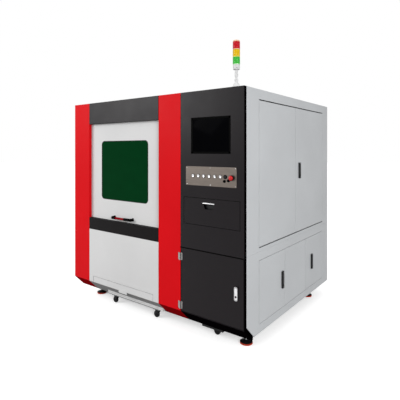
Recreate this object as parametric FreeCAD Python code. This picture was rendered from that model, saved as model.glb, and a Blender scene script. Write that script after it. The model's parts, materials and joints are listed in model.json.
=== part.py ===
import FreeCAD, Part
import math
import os

# Enclosed fibre laser cutting machine: a welded tube frame on four levelling feet and six castors,
# clad in folded sheet, with a lift door in front of the work bay and a control column beside it.
# Millimetres, +Z up, -Y the front, +X the control column's side. The origin is on the floor, under
# the middle of the machine's overall box.

# ---------------------------------------------------------------- driving dimensions
WIDTH = 1800.0
DEPTH = 1540.0
BODY_HEIGHT = 1650.0
GROUND_CLEARANCE = 110.0

SHEET = 2.0                  # thickness of every folded sheet
SEAM = 0.6                   # gap between neighbouring fixed panels
DOOR_GAP = 3.0               # gap around doors, leaves and drawer fronts
RUN = 0.3                    # clearance beside things that slide on flat faces
PIVOT_CLEARANCE = 0.05       # radial clearance of a pin in its hole

# fascia
LEFT_COLUMN_W = 213.0
RIGHT_COLUMN_W = 218.0
CONTROL_W = 531.0
FASCIA_DEPTH = 26.0
FOLD_RADIUS = 4.0
CHAMFER_TOP = 84.0           # height where the toe starts to slope back
TOE_DROP = 11.0              # how far the toe reaches below the base line
HEADER_H = 182.0
SILL_TOP = 644.0
SILL_H = 99.0

# lift door
DOOR_RECESS = 30.0
DOOR_THICKNESS = 25.0
DOOR_OVERLAP = 18.0          # how far the door reaches behind each red column
DOOR_LAP = 24.0              # how far the closed door reaches up behind the header
WINDOW_W = 564.0
WINDOW_H = 500.0
WINDOW_RADIUS = 35.0
WINDOW_BOTTOM = 817.0
WINDOW_LAP = 14.0
WINDOW_FIT = 0.5             # gap round the pane in its opening
GLASS = 5.0
GUIDE_WALL = 3.0
DOOR_RUN = 0.8

# door handle
HANDLE_SPAN = 240.0
HANDLE_GRIP = 142.0
HANDLE_REACH = 45.0
HANDLE_THICK = 20.0
HANDLE_HEIGHT = 25.0
HANDLE_CORNER = 15.0
HANDLE_SLEEVE = 1.0          # how far the grip sleeve stands out from the bar
HANDLE_Z = 675.0

# control column
MONITOR_W = 331.0
MONITOR_H = 252.0
MONITOR_DROP = 437.0         # from the top of the column to the screen's lower edge
MONITOR_BOTTOM = BODY_HEIGHT - MONITOR_DROP
MONITOR_X = -268.5           # from the right side plane, as for the other fittings of the column
MONITOR_LAP = 6.0
MONITOR_DEPTH = 46.0
MONITOR_RIM = 22.0
MONITOR_BACK = (180.0, 144.0, 20.0)
PLATE_W = 421.0
PLATE_H = 132.0
PLATE_DROP = 220.0           # from the screen's lower edge to the plate's
PLATE_BOTTOM = MONITOR_BOTTOM - PLATE_DROP
PLATE_X = -267.5
PLATE_RADIUS = 7.0
PLATE_LIP = 12.0
BUTTON_X = -298.0
BUTTON_Z = PLATE_BOTTOM + 68.0
BUTTON_PITCH = 46.0
BUTTON_COUNT = 6
BUTTON_R = 9.2
BUTTON_TRAVEL = 3.0
BEZEL_R = 13.0
BEZEL_PROUD = 3.0
CAP_PROUD = 2.0
SWITCH_CLEARANCE = 0.1
SWITCH_DEPTH = 15.0
KEY_X = -144.0
STOP_X = -93.0
STOP_Z = PLATE_BOTTOM + 63.0
STOP_R = 20.0
STOP_EDGE = 6.0              # rounding of the mushroom head
STOP_HEAD = 16.0
STOP_NECK = 5.0
KEY_SLOT = (2.4, 10.0, 8.0)  # width, height and depth of the key slot
SOCKETS = ((-151.0, PLATE_BOTTOM + 39.0), (-120.0, PLATE_BOTTOM + 44.0))
SOCKET_R = 8.0
DRAWER_W = 463.0
DRAWER_H = 185.0
DRAWER_DROP = 273.0          # from the plate's lower edge to the drawer's
DRAWER_BOTTOM = PLATE_BOTTOM - DRAWER_DROP
DRAWER_X = -265.5
TRAY_LENGTH = 320.0
TRAY_H = 72.0
TRAY_RAISE = 6.0
TRAY_INSET = 14.0
PULL_X = -280.5
PULL_W = 97.0
PULL_TOP = DRAWER_BOTTOM + 153.0
PULL_H = 42.0
PULL_TAPER = 16.0
PULL_LIP = 4.0
SLIDE_RAISE = 20.0
SLIDE_H = 30.0
SLIDE_WEB = 8.0
SLIDE_LEG = 4.0
SLIDE_SHEET = 3.0
CABINET_TOP = 541.0
CABINET_DOOR_DEPTH = 20.0
CABINET_RIM = 24.0

# chrome hinges of the cabinet door
HINGE_W = 38.0
HINGE_H = 52.0
HINGE_Z = (128.0, 477.0)
KNUCKLE_R = 6.0
HINGE_PIN_R = 2.5
HINGE_LEAF = 2.0
HINGE_NECK = 5.0             # from the pin's middle to where the fixed leaf starts

# side cladding
SIDE_START = 28.0
SIDE_CHAMFER = 97.0
SIDE_SPLIT = 550.0
RETURN = 25.0
LEAF_DEPTH = 20.0
UPPER_OPENING_DROP = 72.0    # from the top of the side to the upper opening
UPPER_OPENING = (192.0, 1405.0, 580.0, BODY_HEIGHT - UPPER_OPENING_DROP)
LOWER_OPENING = (192.0, 1400.0, 58.0, 491.0)
UPPER_SEAM = 800.0
LOWER_SEAMS = (601.0, 1009.0)
COVER_TAB = (300.0, 8.0)     # length and width of the tabs that hold the fixed middle cover
PIVOT_R = 4.0
PIVOT_INSET = 6.0

# paddle locks: how far out, width, height, and the depth and height of each
LOCK_FROM_SEAM = (68.0, 49.0, 124.0)
UPPER_LOCK = (UPPER_SEAM + LOCK_FROM_SEAM[0], 1074.0)
LOWER_FRONT_LOCK = (LOWER_SEAMS[0] - LOCK_FROM_SEAM[1], 269.0)
LOWER_REAR_LOCK = (LOWER_SEAMS[1] + LOCK_FROM_SEAM[2], 273.5)
LATCH_X = -58.0
LATCH_Z = 312.5
LOCK_PROUD = 12.0
LOCK_W = 25.0
LOCK_H = 128.0
LATCH_W = 24.0
LATCH_H = 89.0
LOCK_BASE = 2.0
LOCK_EAR = 3.0
LOCK_EAR_H = 14.0
LOCK_EAR_BACK = 0.5          # how far the ears stay behind the paddle's face
LOCK_PIN_R = 2.0
LOCK_PIN_DROP = 8.0
LOCK_FOOT = 4.0              # how far the paddle ends above the base's lower edge

# roof
ROOF_FOLDS = (DEPTH * 0.32, DEPTH * 0.64)
ROOF_FOLD_W = 60.0
ROOF_FOLD_H = 16.0

# scrap drawer
SCRAP_SIDE = 60.0            # column face left beside the drawer's front
SCRAP_FRONT_W = WIDTH - LEFT_COLUMN_W - RIGHT_COLUMN_W - CONTROL_W - 2.0 * SCRAP_SIDE
SCRAP_FRONT_TOP = 134.0
SCRAP_TRAY_INSET = 39.0
SCRAP_TRAY_W = SCRAP_FRONT_W - 2.0 * SCRAP_TRAY_INSET
SCRAP_TRAY_TOP = 130.0
SCRAP_TRAY_BOTTOM = 58.0
SCRAP_TRAY_END = 700.0
SCRAP_TAB_W = 98.0
SCRAP_TAB_X = 22.0           # how far right of the bay's middle the pull tab sits
SCRAP_TAB_H = 27.0
SCRAP_TAB_DROP = 17.0
RUNNER_W = 30.0

# welded frame
TUBE = 60.0
TUBE_WALL = 4.0
POST = 40.0
FOOT_INSET = 115.0
FRAME_FRONT = 110.0
FRAME_REAR_INSET = 32.0
RING_BOTTOM = -5.0
BED_BEAM_BOTTOM = 420.0
CASTOR_BAR_W = 80.0
CASTOR_BAR_H = 30.0
CASTOR_BAR_LONG = 640.0      # the bars that carry the left and the middle castors
CASTOR_BAR_END = 90.0        # how far the short bars reach past a castor's middle
RIGHT_POST_Y = 420.0

# feet and castors
FOOT_Y = 220.0
FOOT_R = 45.0
FOOT_PAD = 12.0
FOOT_DOME = 14.0
FOOT_STEM_R = 8.0
FOOT_NUT_R = 14.0
FOOT_NUT = 13.0
CASTOR_BAY_X = (-218.0, 281.0)   # left and middle castors, from the middle of the bay
CASTOR_RIGHT_X = -331.0          # right castor, from the right side plane
CASTOR_FRONT_Y = (144.0, 144.0, 199.0)
CASTOR_REAR_INSET = 80.0
CASTOR_PLATE = 60.0
CASTOR_PLATE_T = 3.0
WHEEL_R = 27.0
WHEEL_W = 20.0
WHEEL_LIFT = 1.0
WHEEL_PLAY = 1.0             # gap between the tyre and each leg of the fork
CASTOR_TRAIL = 14.0
FORK_SHEET = 2.5
FORK_HEAD_R = 18.0
FORK_CROWN = 5.0
WHEEL_SHOULDER = 3.0
AXLE_R = 4.0
AXLE_END = 2.0
KINGPIN_R = 5.0

# machine inside the bay
BED_W = 940.0
BED_BEAM_W = 90.0
BED_FRONT = 260.0
BED_REAR = 1300.0
BED_BOTTOM = 480.0
BED_TOP = 600.0
BED_CROSS = 80.0
RAIL_W = 20.0
RAIL_H = 18.0
RAIL_END_MARGIN = 30.0
TABLE_RAIL = 8.0
TABLE_RAIL_H = 36.0
TABLE_MARGIN = 20.0
SLAT = 3.0
SLAT_H = 50.0
SLAT_TOP = 640.0
SLAT_COUNT = 9
SLAT_TEETH = 8
SLAT_TOOTH = 12.0
GANTRY_Y = 880.0
BEAM_D = 110.0
BEAM_H = 120.0
BEAM_WALL = 8.0
CARRIAGE_L = 150.0
CARRIAGE_W = 60.0
CARRIAGE_TOP = 660.0
XRAIL = 15.0
XRAIL_H = 12.0
XPLATE_W = 140.0
XPLATE_T = 18.0
ZRAIL_W = 20.0
ZRAIL_H = 10.0
XPLATE_RISE = 120.0          # how far the carriage plate reaches above the beam
XRAIL_INSET = 20.0
RUNNER_LAP = 12.0
NOZZLE_GAP = 8.0
HEAD_W = 64.0
HEAD_H = 170.0
HEAD_GAP = 2.0
HEAD_REACH = 58.0            # from the carriage plate to the middle of the head
HEAD_RAISE = 46.0
SLIDE_BLOCK = (80.0, 20.0, 90.0)     # width, depth and height of the head's slide block
SLIDE_BLOCK_RAISE = 30.0
OPTIC_H = 82.0
OPTIC_R = 24.0
OPTIC_NECK = (12.0, 24.0)
NOZZLE = ((2.5, 0.0), (14.0, 24.0), (18.0, 24.5), (18.0, 48.0))
HOPPER_OUTLET = 150.0
HOPPER_LAP = 30.0
HOPPER_INSET = 40.0
HOPPER_FRONT = 180.0

# between the bay and the control side, and behind the cabinet door
SOURCE_W = 430.0
SOURCE_H = 190.0
SOURCE_FRONT = 560.0
SOURCE_REAR = 1200.0
SOURCE_PANEL = (6.0, 5.0)    # how far the source's front panel stands out sideways and forwards
GRIP = (12.0, 40.0, 110.0)   # rack handle: width, reach and height
GRIP_BAR = 10.0
DEVICE_FRONT = 600.0
DEVICE_RAIL = 8.0
DEVICE_RAIL_H = 35.0
DEVICE_RAILS = (760.0, 1180.0)
DEVICE_RAIL_SPAN = (560.0, 1320.0)
DRIVE_COUNT = 5
DRIVE_PITCH = 78.0
DRIVE = (55.0, 150.0, 160.0)     # width, reach and height of a drive
BREAKER_COUNT = 8
BREAKER_PITCH = 40.0
BREAKER = (36.0, 60.0, 85.0)
COMPUTER = (180.0, 290.0, 240.0)
COMPUTER_FRONT = 90.0
COMPUTER_BOTTOM = 180.0

# cooling slots
SLOT_COUNT = 6
SLOT_PITCH = 40.0
SLOT_LENGTH = 260.0
SLOT_H = 12.0
LEFT_SLOTS = (1020.0, 150.0)
REAR_SLOTS_X = -420.0
REAR_SLOTS = (260.0, 1180.0)

# beacon on the roof
BEACON_X = -134.0
BEACON_Y = 120.0
BEACON_BASE_H = 22.0
BEACON_BASE_R = 25.0
BEACON_POLE_R = 10.0
BEACON_POLE_H = 115.0
BEACON_HOUSING_R = 23.5
BEACON_HOUSING_H = 38.0
LENS_R = 25.0
LENS_PITCH = 51.0
BEACON_CAP_H = 10.0

# back
EXHAUST_R = 75.0
EXHAUST_LENGTH = 50.0
EXHAUST_Z = 1400.0
ENTRY_SIDE = 210.0            # cable entry, from the right side plane
ENTRY_Z = 200.0
ENTRY_R = 13.0
ENTRY_WALL = 7.0
ENTRY_LENGTH = 12.0

# ---------------------------------------------------------------- places worked out from them
FRONT_PROUD = SHEET + BEZEL_PROUD + STOP_NECK + STOP_HEAD
X_RIGHT = (WIDTH - LOCK_PROUD) / 2.0
X_LEFT = X_RIGHT - WIDTH
Y_FRONT = -(DEPTH + EXHAUST_LENGTH - FRONT_PROUD) / 2.0
Z_BASE = GROUND_CLEARANCE

BAY_LEFT = X_LEFT + LEFT_COLUMN_W
CONTROL_LEFT = X_RIGHT - CONTROL_W
BAY_RIGHT = CONTROL_LEFT - RIGHT_COLUMN_W
BAY_CENTRE = (BAY_LEFT + BAY_RIGHT) / 2.0
REAR = DEPTH                                  # depths are counted back from the front plane
DOOR_BACK = DOOR_RECESS + DOOR_THICKNESS
DOOR_BOTTOM = SILL_TOP + 1.0
HEADER_BOTTOM = BODY_HEIGHT - HEADER_H
DOOR_TOP = HEADER_BOTTOM + DOOR_LAP
GUIDE_FRONT = DOOR_RECESS - DOOR_RUN - GUIDE_WALL
GUIDE_BACK = DOOR_BACK + DOOR_RUN + GUIDE_WALL
GUIDE_REACH = DOOR_OVERLAP + 7.0 + GUIDE_WALL
ENTRY_X = X_RIGHT - ENTRY_SIDE
ROOT2 = math.sqrt(2.0)


# ---------------------------------------------------------------- helpers
def place(x, depth, height):
    """A point at x, so far behind the front plane and so far above the base line."""
    return FreeCAD.Vector(x, Y_FRONT + depth, Z_BASE + height)


def block(x0, x1, d0, d1, h0, h1):
    return Part.makeBox(x1 - x0, d1 - d0, h1 - h0, place(x0, d0, h0))


def rod(x, depth, height, radius, length, direction):
    return Part.makeCylinder(radius, length, place(x, depth, height), FreeCAD.Vector(*direction))


def turned(x, depth, height, profile, direction, sides=16):
    """A many-sided turned part, light enough for small rounds; profile lists (radius, distance along)."""
    along = FreeCAD.Vector(*direction)
    across = FreeCAD.Vector(1, 0, 0) if abs(along.x) < 0.5 else FreeCAD.Vector(0, 0, 1)
    other = along.cross(across)
    centre = place(x, depth, height)
    rings = []
    for radius, distance in profile:
        turns = [2 * math.pi * i / sides for i in range(sides)]
        middle = centre + along * distance
        rings.append([middle + across * (radius * math.cos(t)) + other * (radius * math.sin(t))
                      for t in turns])
    outlines = [rings[0], rings[-1]]
    for low, high in zip(rings, rings[1:]):
        for i in range(sides):
            j = (i + 1) % sides
            outlines.append([low[i], low[j], high[j], high[i]])
    return closed_solid(outlines)


def closed_solid(outlines):
    """The solid whose flat faces have these outlines."""
    faces = [Part.Face(Part.makePolygon(points + points[:1])) for points in outlines]
    solid = Part.makeSolid(Part.makeShell(faces))
    return solid if solid.Volume > 0 else solid.reversed()


def faceted(x, depth, height, radius, length, direction, sides=12):
    """A straight many-sided bar whose corners lie on the radius."""
    return turned(x, depth, height, [(radius, 0.0), (radius, length)], direction, sides)


def bore(x, depth, height, radius, length, direction, sides=12):
    """A many-sided hole whose flats touch the radius, so that a bar of that radius turns in it."""
    return faceted(x, depth, height, radius / math.cos(math.pi / sides), length, direction, sides)


def side_prism(outline, x0, x1):
    """Extrude an outline of (depth, height) points from x0 to x1."""
    points = [place(x0, d, h) for d, h in outline]
    face = Part.Face(Part.makePolygon(points + points[:1]))
    return face.extrude(FreeCAD.Vector(x1 - x0, 0, 0))


def plan_prism(outline, h0, h1):
    """Extrude an outline of (x, depth) points from height h0 to h1."""
    points = [place(x, d, h0) for x, d in outline]
    face = Part.Face(Part.makePolygon(points + points[:1]))
    return face.extrude(FreeCAD.Vector(0, 0, h1 - h0))


def front_prism(outline, d0, d1):
    """Extrude an outline of (x, height) points from depth d0 to d1."""
    points = [place(x, d0, h) for x, h in outline]
    face = Part.Face(Part.makePolygon(points + points[:1]))
    return face.extrude(FreeCAD.Vector(0, d1 - d0, 0))


def rounded(shape, radius, wanted):
    """Fillet the edges of a shape that the test picks by their two ends."""
    edges = [e for e in shape.Edges if wanted(e.firstVertex().Point, e.lastVertex().Point)]
    return shape.makeFillet(radius, edges)


def upright(a, b):
    return abs(a.x - b.x) < 1e-6 and abs(a.y - b.y) < 1e-6


def along_depth(a, b):
    return abs(a.x - b.x) < 1e-6 and abs(a.z - b.z) < 1e-6


def at_depth(point, depth):
    return abs(point.y - Y_FRONT - depth) < 1e-6


def join(*shapes):
    return shapes[0].multiFuse(list(shapes[1:])).removeSplitter()


def save(name, *shapes):
    shape = shapes[0] if len(shapes) == 1 else Part.makeCompound(list(shapes))
    shape.exportStep("parts/" + name + ".step")
    print(name, len(shape.Solids), "solids", shape.isValid())


def front_folds(shape):
    """Round the two upright folds at the front of a fascia piece."""
    return rounded(shape, FOLD_RADIUS, lambda a, b: upright(a, b) and at_depth(a, 0.0))


def pan(x0, x1, h0, h1, depth=FASCIA_DEPTH, front=0.0):
    """A folded tray of sheet: a flat face with a return on each of its four sides."""
    outer = rounded(block(x0, x1, front, front + depth, h0, h1), FOLD_RADIUS / 2.0,
                    lambda a, b: upright(a, b) and at_depth(a, front))
    inner = block(x0 + SHEET, x1 - SHEET, front + SHEET, front + depth + 1.0, h0 + SHEET, h1 - SHEET)
    return outer.cut(inner)


def toe_pan(x0, x1, top):
    """A fascia piece whose foot slopes back at 45 degrees, folded from one sheet."""
    slope = CHAMFER_TOP
    foot = -TOE_DROP
    tip = slope - foot
    back = FASCIA_DEPTH
    behind = slope + back * ROOT2
    outer = side_prism([(0.0, slope), (0.0, top), (back, top), (back, behind - back),
                        (FRAME_FRONT, behind - FRAME_FRONT), (FRAME_FRONT, foot), (tip, foot)], x0, x1)
    outer = front_folds(outer)
    bend = SHEET * (ROOT2 - 1.0)
    far = FRAME_FRONT + 20.0
    inner = side_prism([(SHEET, slope + bend), (SHEET, top - SHEET), (back + 14.0, top - SHEET),
                        (back + 14.0, behind - back), (far, behind - FRAME_FRONT), (far, foot + SHEET),
                        (tip + bend, foot + SHEET)], x0 + SHEET, x1 - SHEET)
    return outer.cut(inner)


def tube_x(x0, x1, d0, h0, size=TUBE, tall=None):
    """A hollow tube that runs along x, from its near lower corner."""
    tall = tall or size
    outer = block(x0, x1, d0, d0 + size, h0, h0 + tall)
    return outer.cut(block(x0 - 1, x1 + 1, d0 + TUBE_WALL, d0 + size - TUBE_WALL,
                           h0 + TUBE_WALL, h0 + tall - TUBE_WALL))


def tube_y(x0, d0, d1, h0, size=TUBE):
    outer = block(x0, x0 + size, d0, d1, h0, h0 + size)
    return outer.cut(block(x0 + TUBE_WALL, x0 + size - TUBE_WALL, d0 - 1, d1 + 1,
                           h0 + TUBE_WALL, h0 + size - TUBE_WALL))


def tube_z(x0, d0, h0, h1, size=TUBE):
    outer = block(x0, x0 + size, d0, d0 + size, h0, h1)
    return outer.cut(block(x0 + TUBE_WALL, x0 + size - TUBE_WALL, d0 + TUBE_WALL,
                           d0 + size - TUBE_WALL, h0 - 1, h1 + 1))


# ---------------------------------------------------------------- welded frame
RING_TOP = RING_BOTTOM + TUBE
LEFT_BEAM = X_LEFT + FOOT_INSET - TUBE / 2.0
RIGHT_BEAM = X_RIGHT - FOOT_INSET - TUBE / 2.0
MID_BEAM = CONTROL_LEFT - TUBE - 4.0
FRAME_REAR = REAR - FRAME_REAR_INSET
ROOF_UNDER = BODY_HEIGHT - SHEET
TOP_RING = ROOF_UNDER - POST
BAR_BOTTOM = RING_BOTTOM - CASTOR_BAR_H
LEFT_GUIDE = BAY_LEFT - GUIDE_REACH
RIGHT_GUIDE = BAY_RIGHT + GUIDE_REACH
SCRAP_LEFT = BAY_CENTRE - SCRAP_TRAY_W / 2.0
SCRAP_RIGHT = BAY_CENTRE + SCRAP_TRAY_W / 2.0


def base_frame():
    """Ring, posts, top ring, cross beams, lift door guides, drawer runners and castor bars."""
    near = FRAME_FRONT
    far = FRAME_REAR - TUBE
    inner_left = LEFT_BEAM + TUBE
    tubes = [tube_y(x, near, FRAME_REAR, RING_BOTTOM) for x in (LEFT_BEAM, RIGHT_BEAM)]
    for depth in (near, far):
        tubes.append(tube_x(inner_left, RIGHT_BEAM, depth, RING_BOTTOM))
    tubes.append(tube_y(MID_BEAM, near + TUBE, far, RING_BOTTOM))
    tubes.append(tube_x(inner_left, MID_BEAM, SCRAP_TRAY_END - TUBE, RING_BOTTOM))
    for depth in (SOURCE_FRONT, SOURCE_REAR - TUBE):
        tubes.append(tube_x(MID_BEAM + TUBE, RIGHT_BEAM, depth, RING_BOTTOM))
    for x, depth in ((LEFT_BEAM, near), (LEFT_BEAM, far), (MID_BEAM, near), (MID_BEAM, far),
                     (RIGHT_BEAM, far), (RIGHT_BEAM, RIGHT_POST_Y)):
        tubes.append(tube_z(x, depth, RING_TOP, TOP_RING))
    tubes.append(tube_y(LEFT_BEAM, near, FRAME_REAR, TOP_RING, POST))
    tubes.append(tube_y(RIGHT_BEAM, near, FRAME_REAR, TOP_RING, POST))
    for depth in (near, FRAME_REAR - POST):
        tubes.append(tube_x(LEFT_BEAM + POST, RIGHT_BEAM, depth, TOP_RING, POST))
    for depth in (BED_FRONT, BED_REAR - TUBE):
        tubes.append(tube_x(inner_left, MID_BEAM, depth, BED_BEAM_BOTTOM))
    for x in (LEFT_BEAM, MID_BEAM):
        for d0, d1 in ((near + TUBE, BED_FRONT), (BED_FRONT, FRAME_REAR - TUBE)):
            tubes.append(tube_y(x, d0, d1, BED_BEAM_BOTTOM))
    return tubes + bay_posts() + door_guides() + drawer_runners() + castor_bars()


def bay_posts():
    """A post beside each door guide, tied back to the frame below the sill and at the roof."""
    posts = []
    for x in (LEFT_GUIDE - POST, RIGHT_GUIDE):
        posts.append(tube_z(x, DOOR_RECESS, CHAMFER_TOP + 6.0, TOP_RING, POST))
        tie = block(x, x + POST, DOOR_RECESS, FRAME_FRONT, TOP_RING, ROOF_UNDER)
        posts.append(tie.cut(block(x + TUBE_WALL, x + POST - TUBE_WALL, 0, FRAME_FRONT + 1,
                                   TOP_RING + TUBE_WALL, ROOF_UNDER - TUBE_WALL)))
    low = BED_BEAM_BOTTOM
    posts.append(tube_x(LEFT_BEAM + TUBE, MID_BEAM, FRAME_FRONT, low, POST))
    for x in (LEFT_GUIDE - POST, RIGHT_GUIDE):
        tie = block(x, x + POST, DOOR_RECESS + POST, FRAME_FRONT, low, low + POST)
        posts.append(tie.cut(block(x + TUBE_WALL, x + POST - TUBE_WALL, 0, FRAME_FRONT + 1,
                                   low + TUBE_WALL, low + POST - TUBE_WALL)))
    return posts


def door_guides():
    """Two upright channels that hold the side edges of the lift door."""
    guides = []
    for side, edge in ((-1, BAY_LEFT), (1, BAY_RIGHT)):
        outer = edge + side * GUIDE_REACH
        channel = block(min(edge, outer), max(edge, outer), GUIDE_FRONT, GUIDE_BACK,
                        SILL_TOP - SILL_H, TOP_RING)
        inside = outer - side * GUIDE_WALL
        mouth = edge - side * 1.0
        guides.append(channel.cut(block(min(inside, mouth), max(inside, mouth), GUIDE_FRONT + GUIDE_WALL,
                                        GUIDE_BACK - GUIDE_WALL, 0, BODY_HEIGHT)))
    return guides


def drawer_runners():
    """Two flat bars on the ring, along which the scrap drawer slides."""
    top = SCRAP_TRAY_BOTTOM - RUN
    return [block(x, x + RUNNER_W, FRAME_FRONT, SCRAP_TRAY_END, RING_TOP, top)
            for x in (SCRAP_LEFT, SCRAP_RIGHT - RUNNER_W)]


def castor_places():
    """Centres of the six castors: three in front, three behind, as (name, x, depth)."""
    across = (BAY_CENTRE + CASTOR_BAY_X[0], BAY_CENTRE + CASTOR_BAY_X[1], X_RIGHT + CASTOR_RIGHT_X)
    rear = (REAR - CASTOR_REAR_INSET,) * 3
    places = []
    for row, depths in (("front", CASTOR_FRONT_Y), ("rear", rear)):
        for side, x, depth in zip(("left", "middle", "right"), across, depths):
            places.append((row + "_" + side, x, depth))
    return places


def castor_bars():
    """Flat tubes under the ring with a drilled top plate for each castor."""
    pieces = []
    right = X_RIGHT + CASTOR_RIGHT_X
    short_bar = (right - CASTOR_BAR_END, right + CASTOR_BAR_END)
    half_bar = CASTOR_BAR_W / 2.0
    behind = REAR - CASTOR_REAR_INSET
    near = FRAME_FRONT + DOOR_GAP
    long_bar = (BAY_CENTRE - CASTOR_BAR_LONG / 2.0, BAY_CENTRE + CASTOR_BAR_LONG / 2.0)
    for x0, x1, d0, d1 in ((*long_bar, near, CASTOR_FRONT_Y[0] + half_bar),
                           (*short_bar, near, CASTOR_FRONT_Y[2] + half_bar),
                           (*long_bar, behind - half_bar, behind + half_bar),
                           (*short_bar, behind - half_bar, behind + half_bar)):
        pieces.append(tube_x(x0, x1, d0, BAR_BOTTOM, d1 - d0, CASTOR_BAR_H))
    half = CASTOR_PLATE / 2.0
    low = BAR_BOTTOM - CASTOR_PLATE_T
    for name, x, depth in castor_places():
        plate = block(x - half, x + half, depth - half, depth + half, low, BAR_BOTTOM)
        hole = bore(x, depth, low - 1, KINGPIN_R + PIVOT_CLEARANCE, CASTOR_PLATE_T + 2, (0, 0, 1), 8)
        pieces.append(plate.cut(hole))
    return pieces


def levelling_feet():
    """Four feet: a rubber ring under a steel dome, a stem and a lock nut under the ring."""
    feet = []
    floor = -GROUND_CLEARANCE
    for x in (LEFT_BEAM + TUBE / 2.0, RIGHT_BEAM + TUBE / 2.0):
        for depth in (FOOT_Y, REAR - FOOT_Y):
            top = GROUND_CLEARANCE + RING_BOTTOM
            dome = FOOT_PAD + FOOT_DOME
            profile = [(FOOT_R, 0.0), (FOOT_R, FOOT_PAD), (FOOT_R - 5.0, FOOT_PAD + 1.0),
                       (2 * FOOT_STEM_R, dome), (FOOT_STEM_R, dome + 1.0), (FOOT_STEM_R, top)]
            foot = turned(x, depth, floor, profile, (0, 0, 1), 12)
            turns = [math.radians(60 * i) for i in range(6)]
            corners = [(x + FOOT_NUT_R * math.cos(t), depth + FOOT_NUT_R * math.sin(t)) for t in turns]
            nut = plan_prism(corners, RING_BOTTOM - FOOT_NUT, RING_BOTTOM)
            feet.append(join(foot, nut))
    return feet


# ---------------------------------------------------------------- castors
AXLE_Z = -GROUND_CLEARANCE + WHEEL_LIFT + WHEEL_R
FORK_TOP = BAR_BOTTOM - CASTOR_PLATE_T - RUN


def castor_fork(x, depth):
    """Swivel head, two legs, axle and kingpin; the wheel trails to the left."""
    wheel_x = x - CASTOR_TRAIL
    gap = WHEEL_W / 2.0 + WHEEL_PLAY
    wide = gap + FORK_SHEET
    under = FORK_TOP - FORK_CROWN
    hub = 2.0 * AXLE_R
    crown = block(x - FORK_HEAD_R, x + FORK_HEAD_R, depth - wide, depth + wide, under, FORK_TOP)
    side = [(x + FORK_HEAD_R, under), (x - FORK_HEAD_R, under), (wheel_x - hub, AXLE_Z),
            (wheel_x - AXLE_R, AXLE_Z - hub), (wheel_x + AXLE_R, AXLE_Z - hub),
            (wheel_x + hub + 2.0, AXLE_Z)]
    legs = front_prism(side, depth - wide, depth + wide).cut(front_prism(side, depth - gap, depth + gap))
    kingpin = faceted(x, depth, FORK_TOP - 1.0, KINGPIN_R, RUN + CASTOR_PLATE_T + 0.5, (0, 0, 1), 8)
    axle = faceted(wheel_x, depth - wide - AXLE_END, AXLE_Z, AXLE_R, 2.0 * (wide + AXLE_END), (0, 1, 0), 8)
    return join(crown, legs, kingpin, axle)


def castor_wheel(x, depth):
    """A tyre with chamfered shoulders, bored for the axle."""
    wheel_x = x - CASTOR_TRAIL
    half = WHEEL_W / 2.0
    edge = WHEEL_R - WHEEL_SHOULDER
    profile = [(edge, 0.0), (WHEEL_R, WHEEL_SHOULDER), (WHEEL_R, WHEEL_W - WHEEL_SHOULDER), (edge, WHEEL_W)]
    tyre = turned(wheel_x, depth - half, AXLE_Z, profile, (0, 1, 0))
    hole = bore(wheel_x, depth - half - 1.0, AXLE_Z, AXLE_R + PIVOT_CLEARANCE, WHEEL_W + 2.0, (0, 1, 0), 8)
    return tyre.cut(hole)


# ---------------------------------------------------------------- fascia
def left_column():
    return toe_pan(X_LEFT, BAY_LEFT, BODY_HEIGHT)


def right_column():
    return toe_pan(BAY_RIGHT, CONTROL_LEFT - SEAM, BODY_HEIGHT)


def header_panel():
    return pan(BAY_LEFT + SEAM, BAY_RIGHT - SEAM, HEADER_BOTTOM, BODY_HEIGHT)


def front_sill():
    """Charcoal band under the door, with a ledge that runs back under the door's edge."""
    x0 = BAY_LEFT + SEAM
    x1 = BAY_RIGHT - SEAM
    band = pan(x0, x1, SILL_TOP - SILL_H, SILL_TOP)
    left = BAY_LEFT + DOOR_GAP
    right = BAY_RIGHT - DOOR_GAP
    ledge = block(left, right, FASCIA_DEPTH, GUIDE_BACK, SILL_TOP - SHEET, SILL_TOP)
    lip = block(left, right, GUIDE_BACK - SHEET, GUIDE_BACK, SILL_TOP - RETURN, SILL_TOP)
    return join(band, ledge, lip)


def lower_front_panel():
    """White panel from the sill down over the toe, cut out for the scrap drawer's front."""
    panel = toe_pan(BAY_LEFT + SEAM, BAY_RIGHT - SEAM, SILL_TOP - SILL_H - SEAM)
    half = SCRAP_FRONT_W / 2.0 + DOOR_GAP
    notch = block(BAY_CENTRE - half, BAY_CENTRE + half, -1.0, FRAME_FRONT + 10.0, -TOE_DROP - 1.0,
                  SCRAP_FRONT_TOP + DOOR_GAP)
    return panel.cut(notch)


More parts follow.
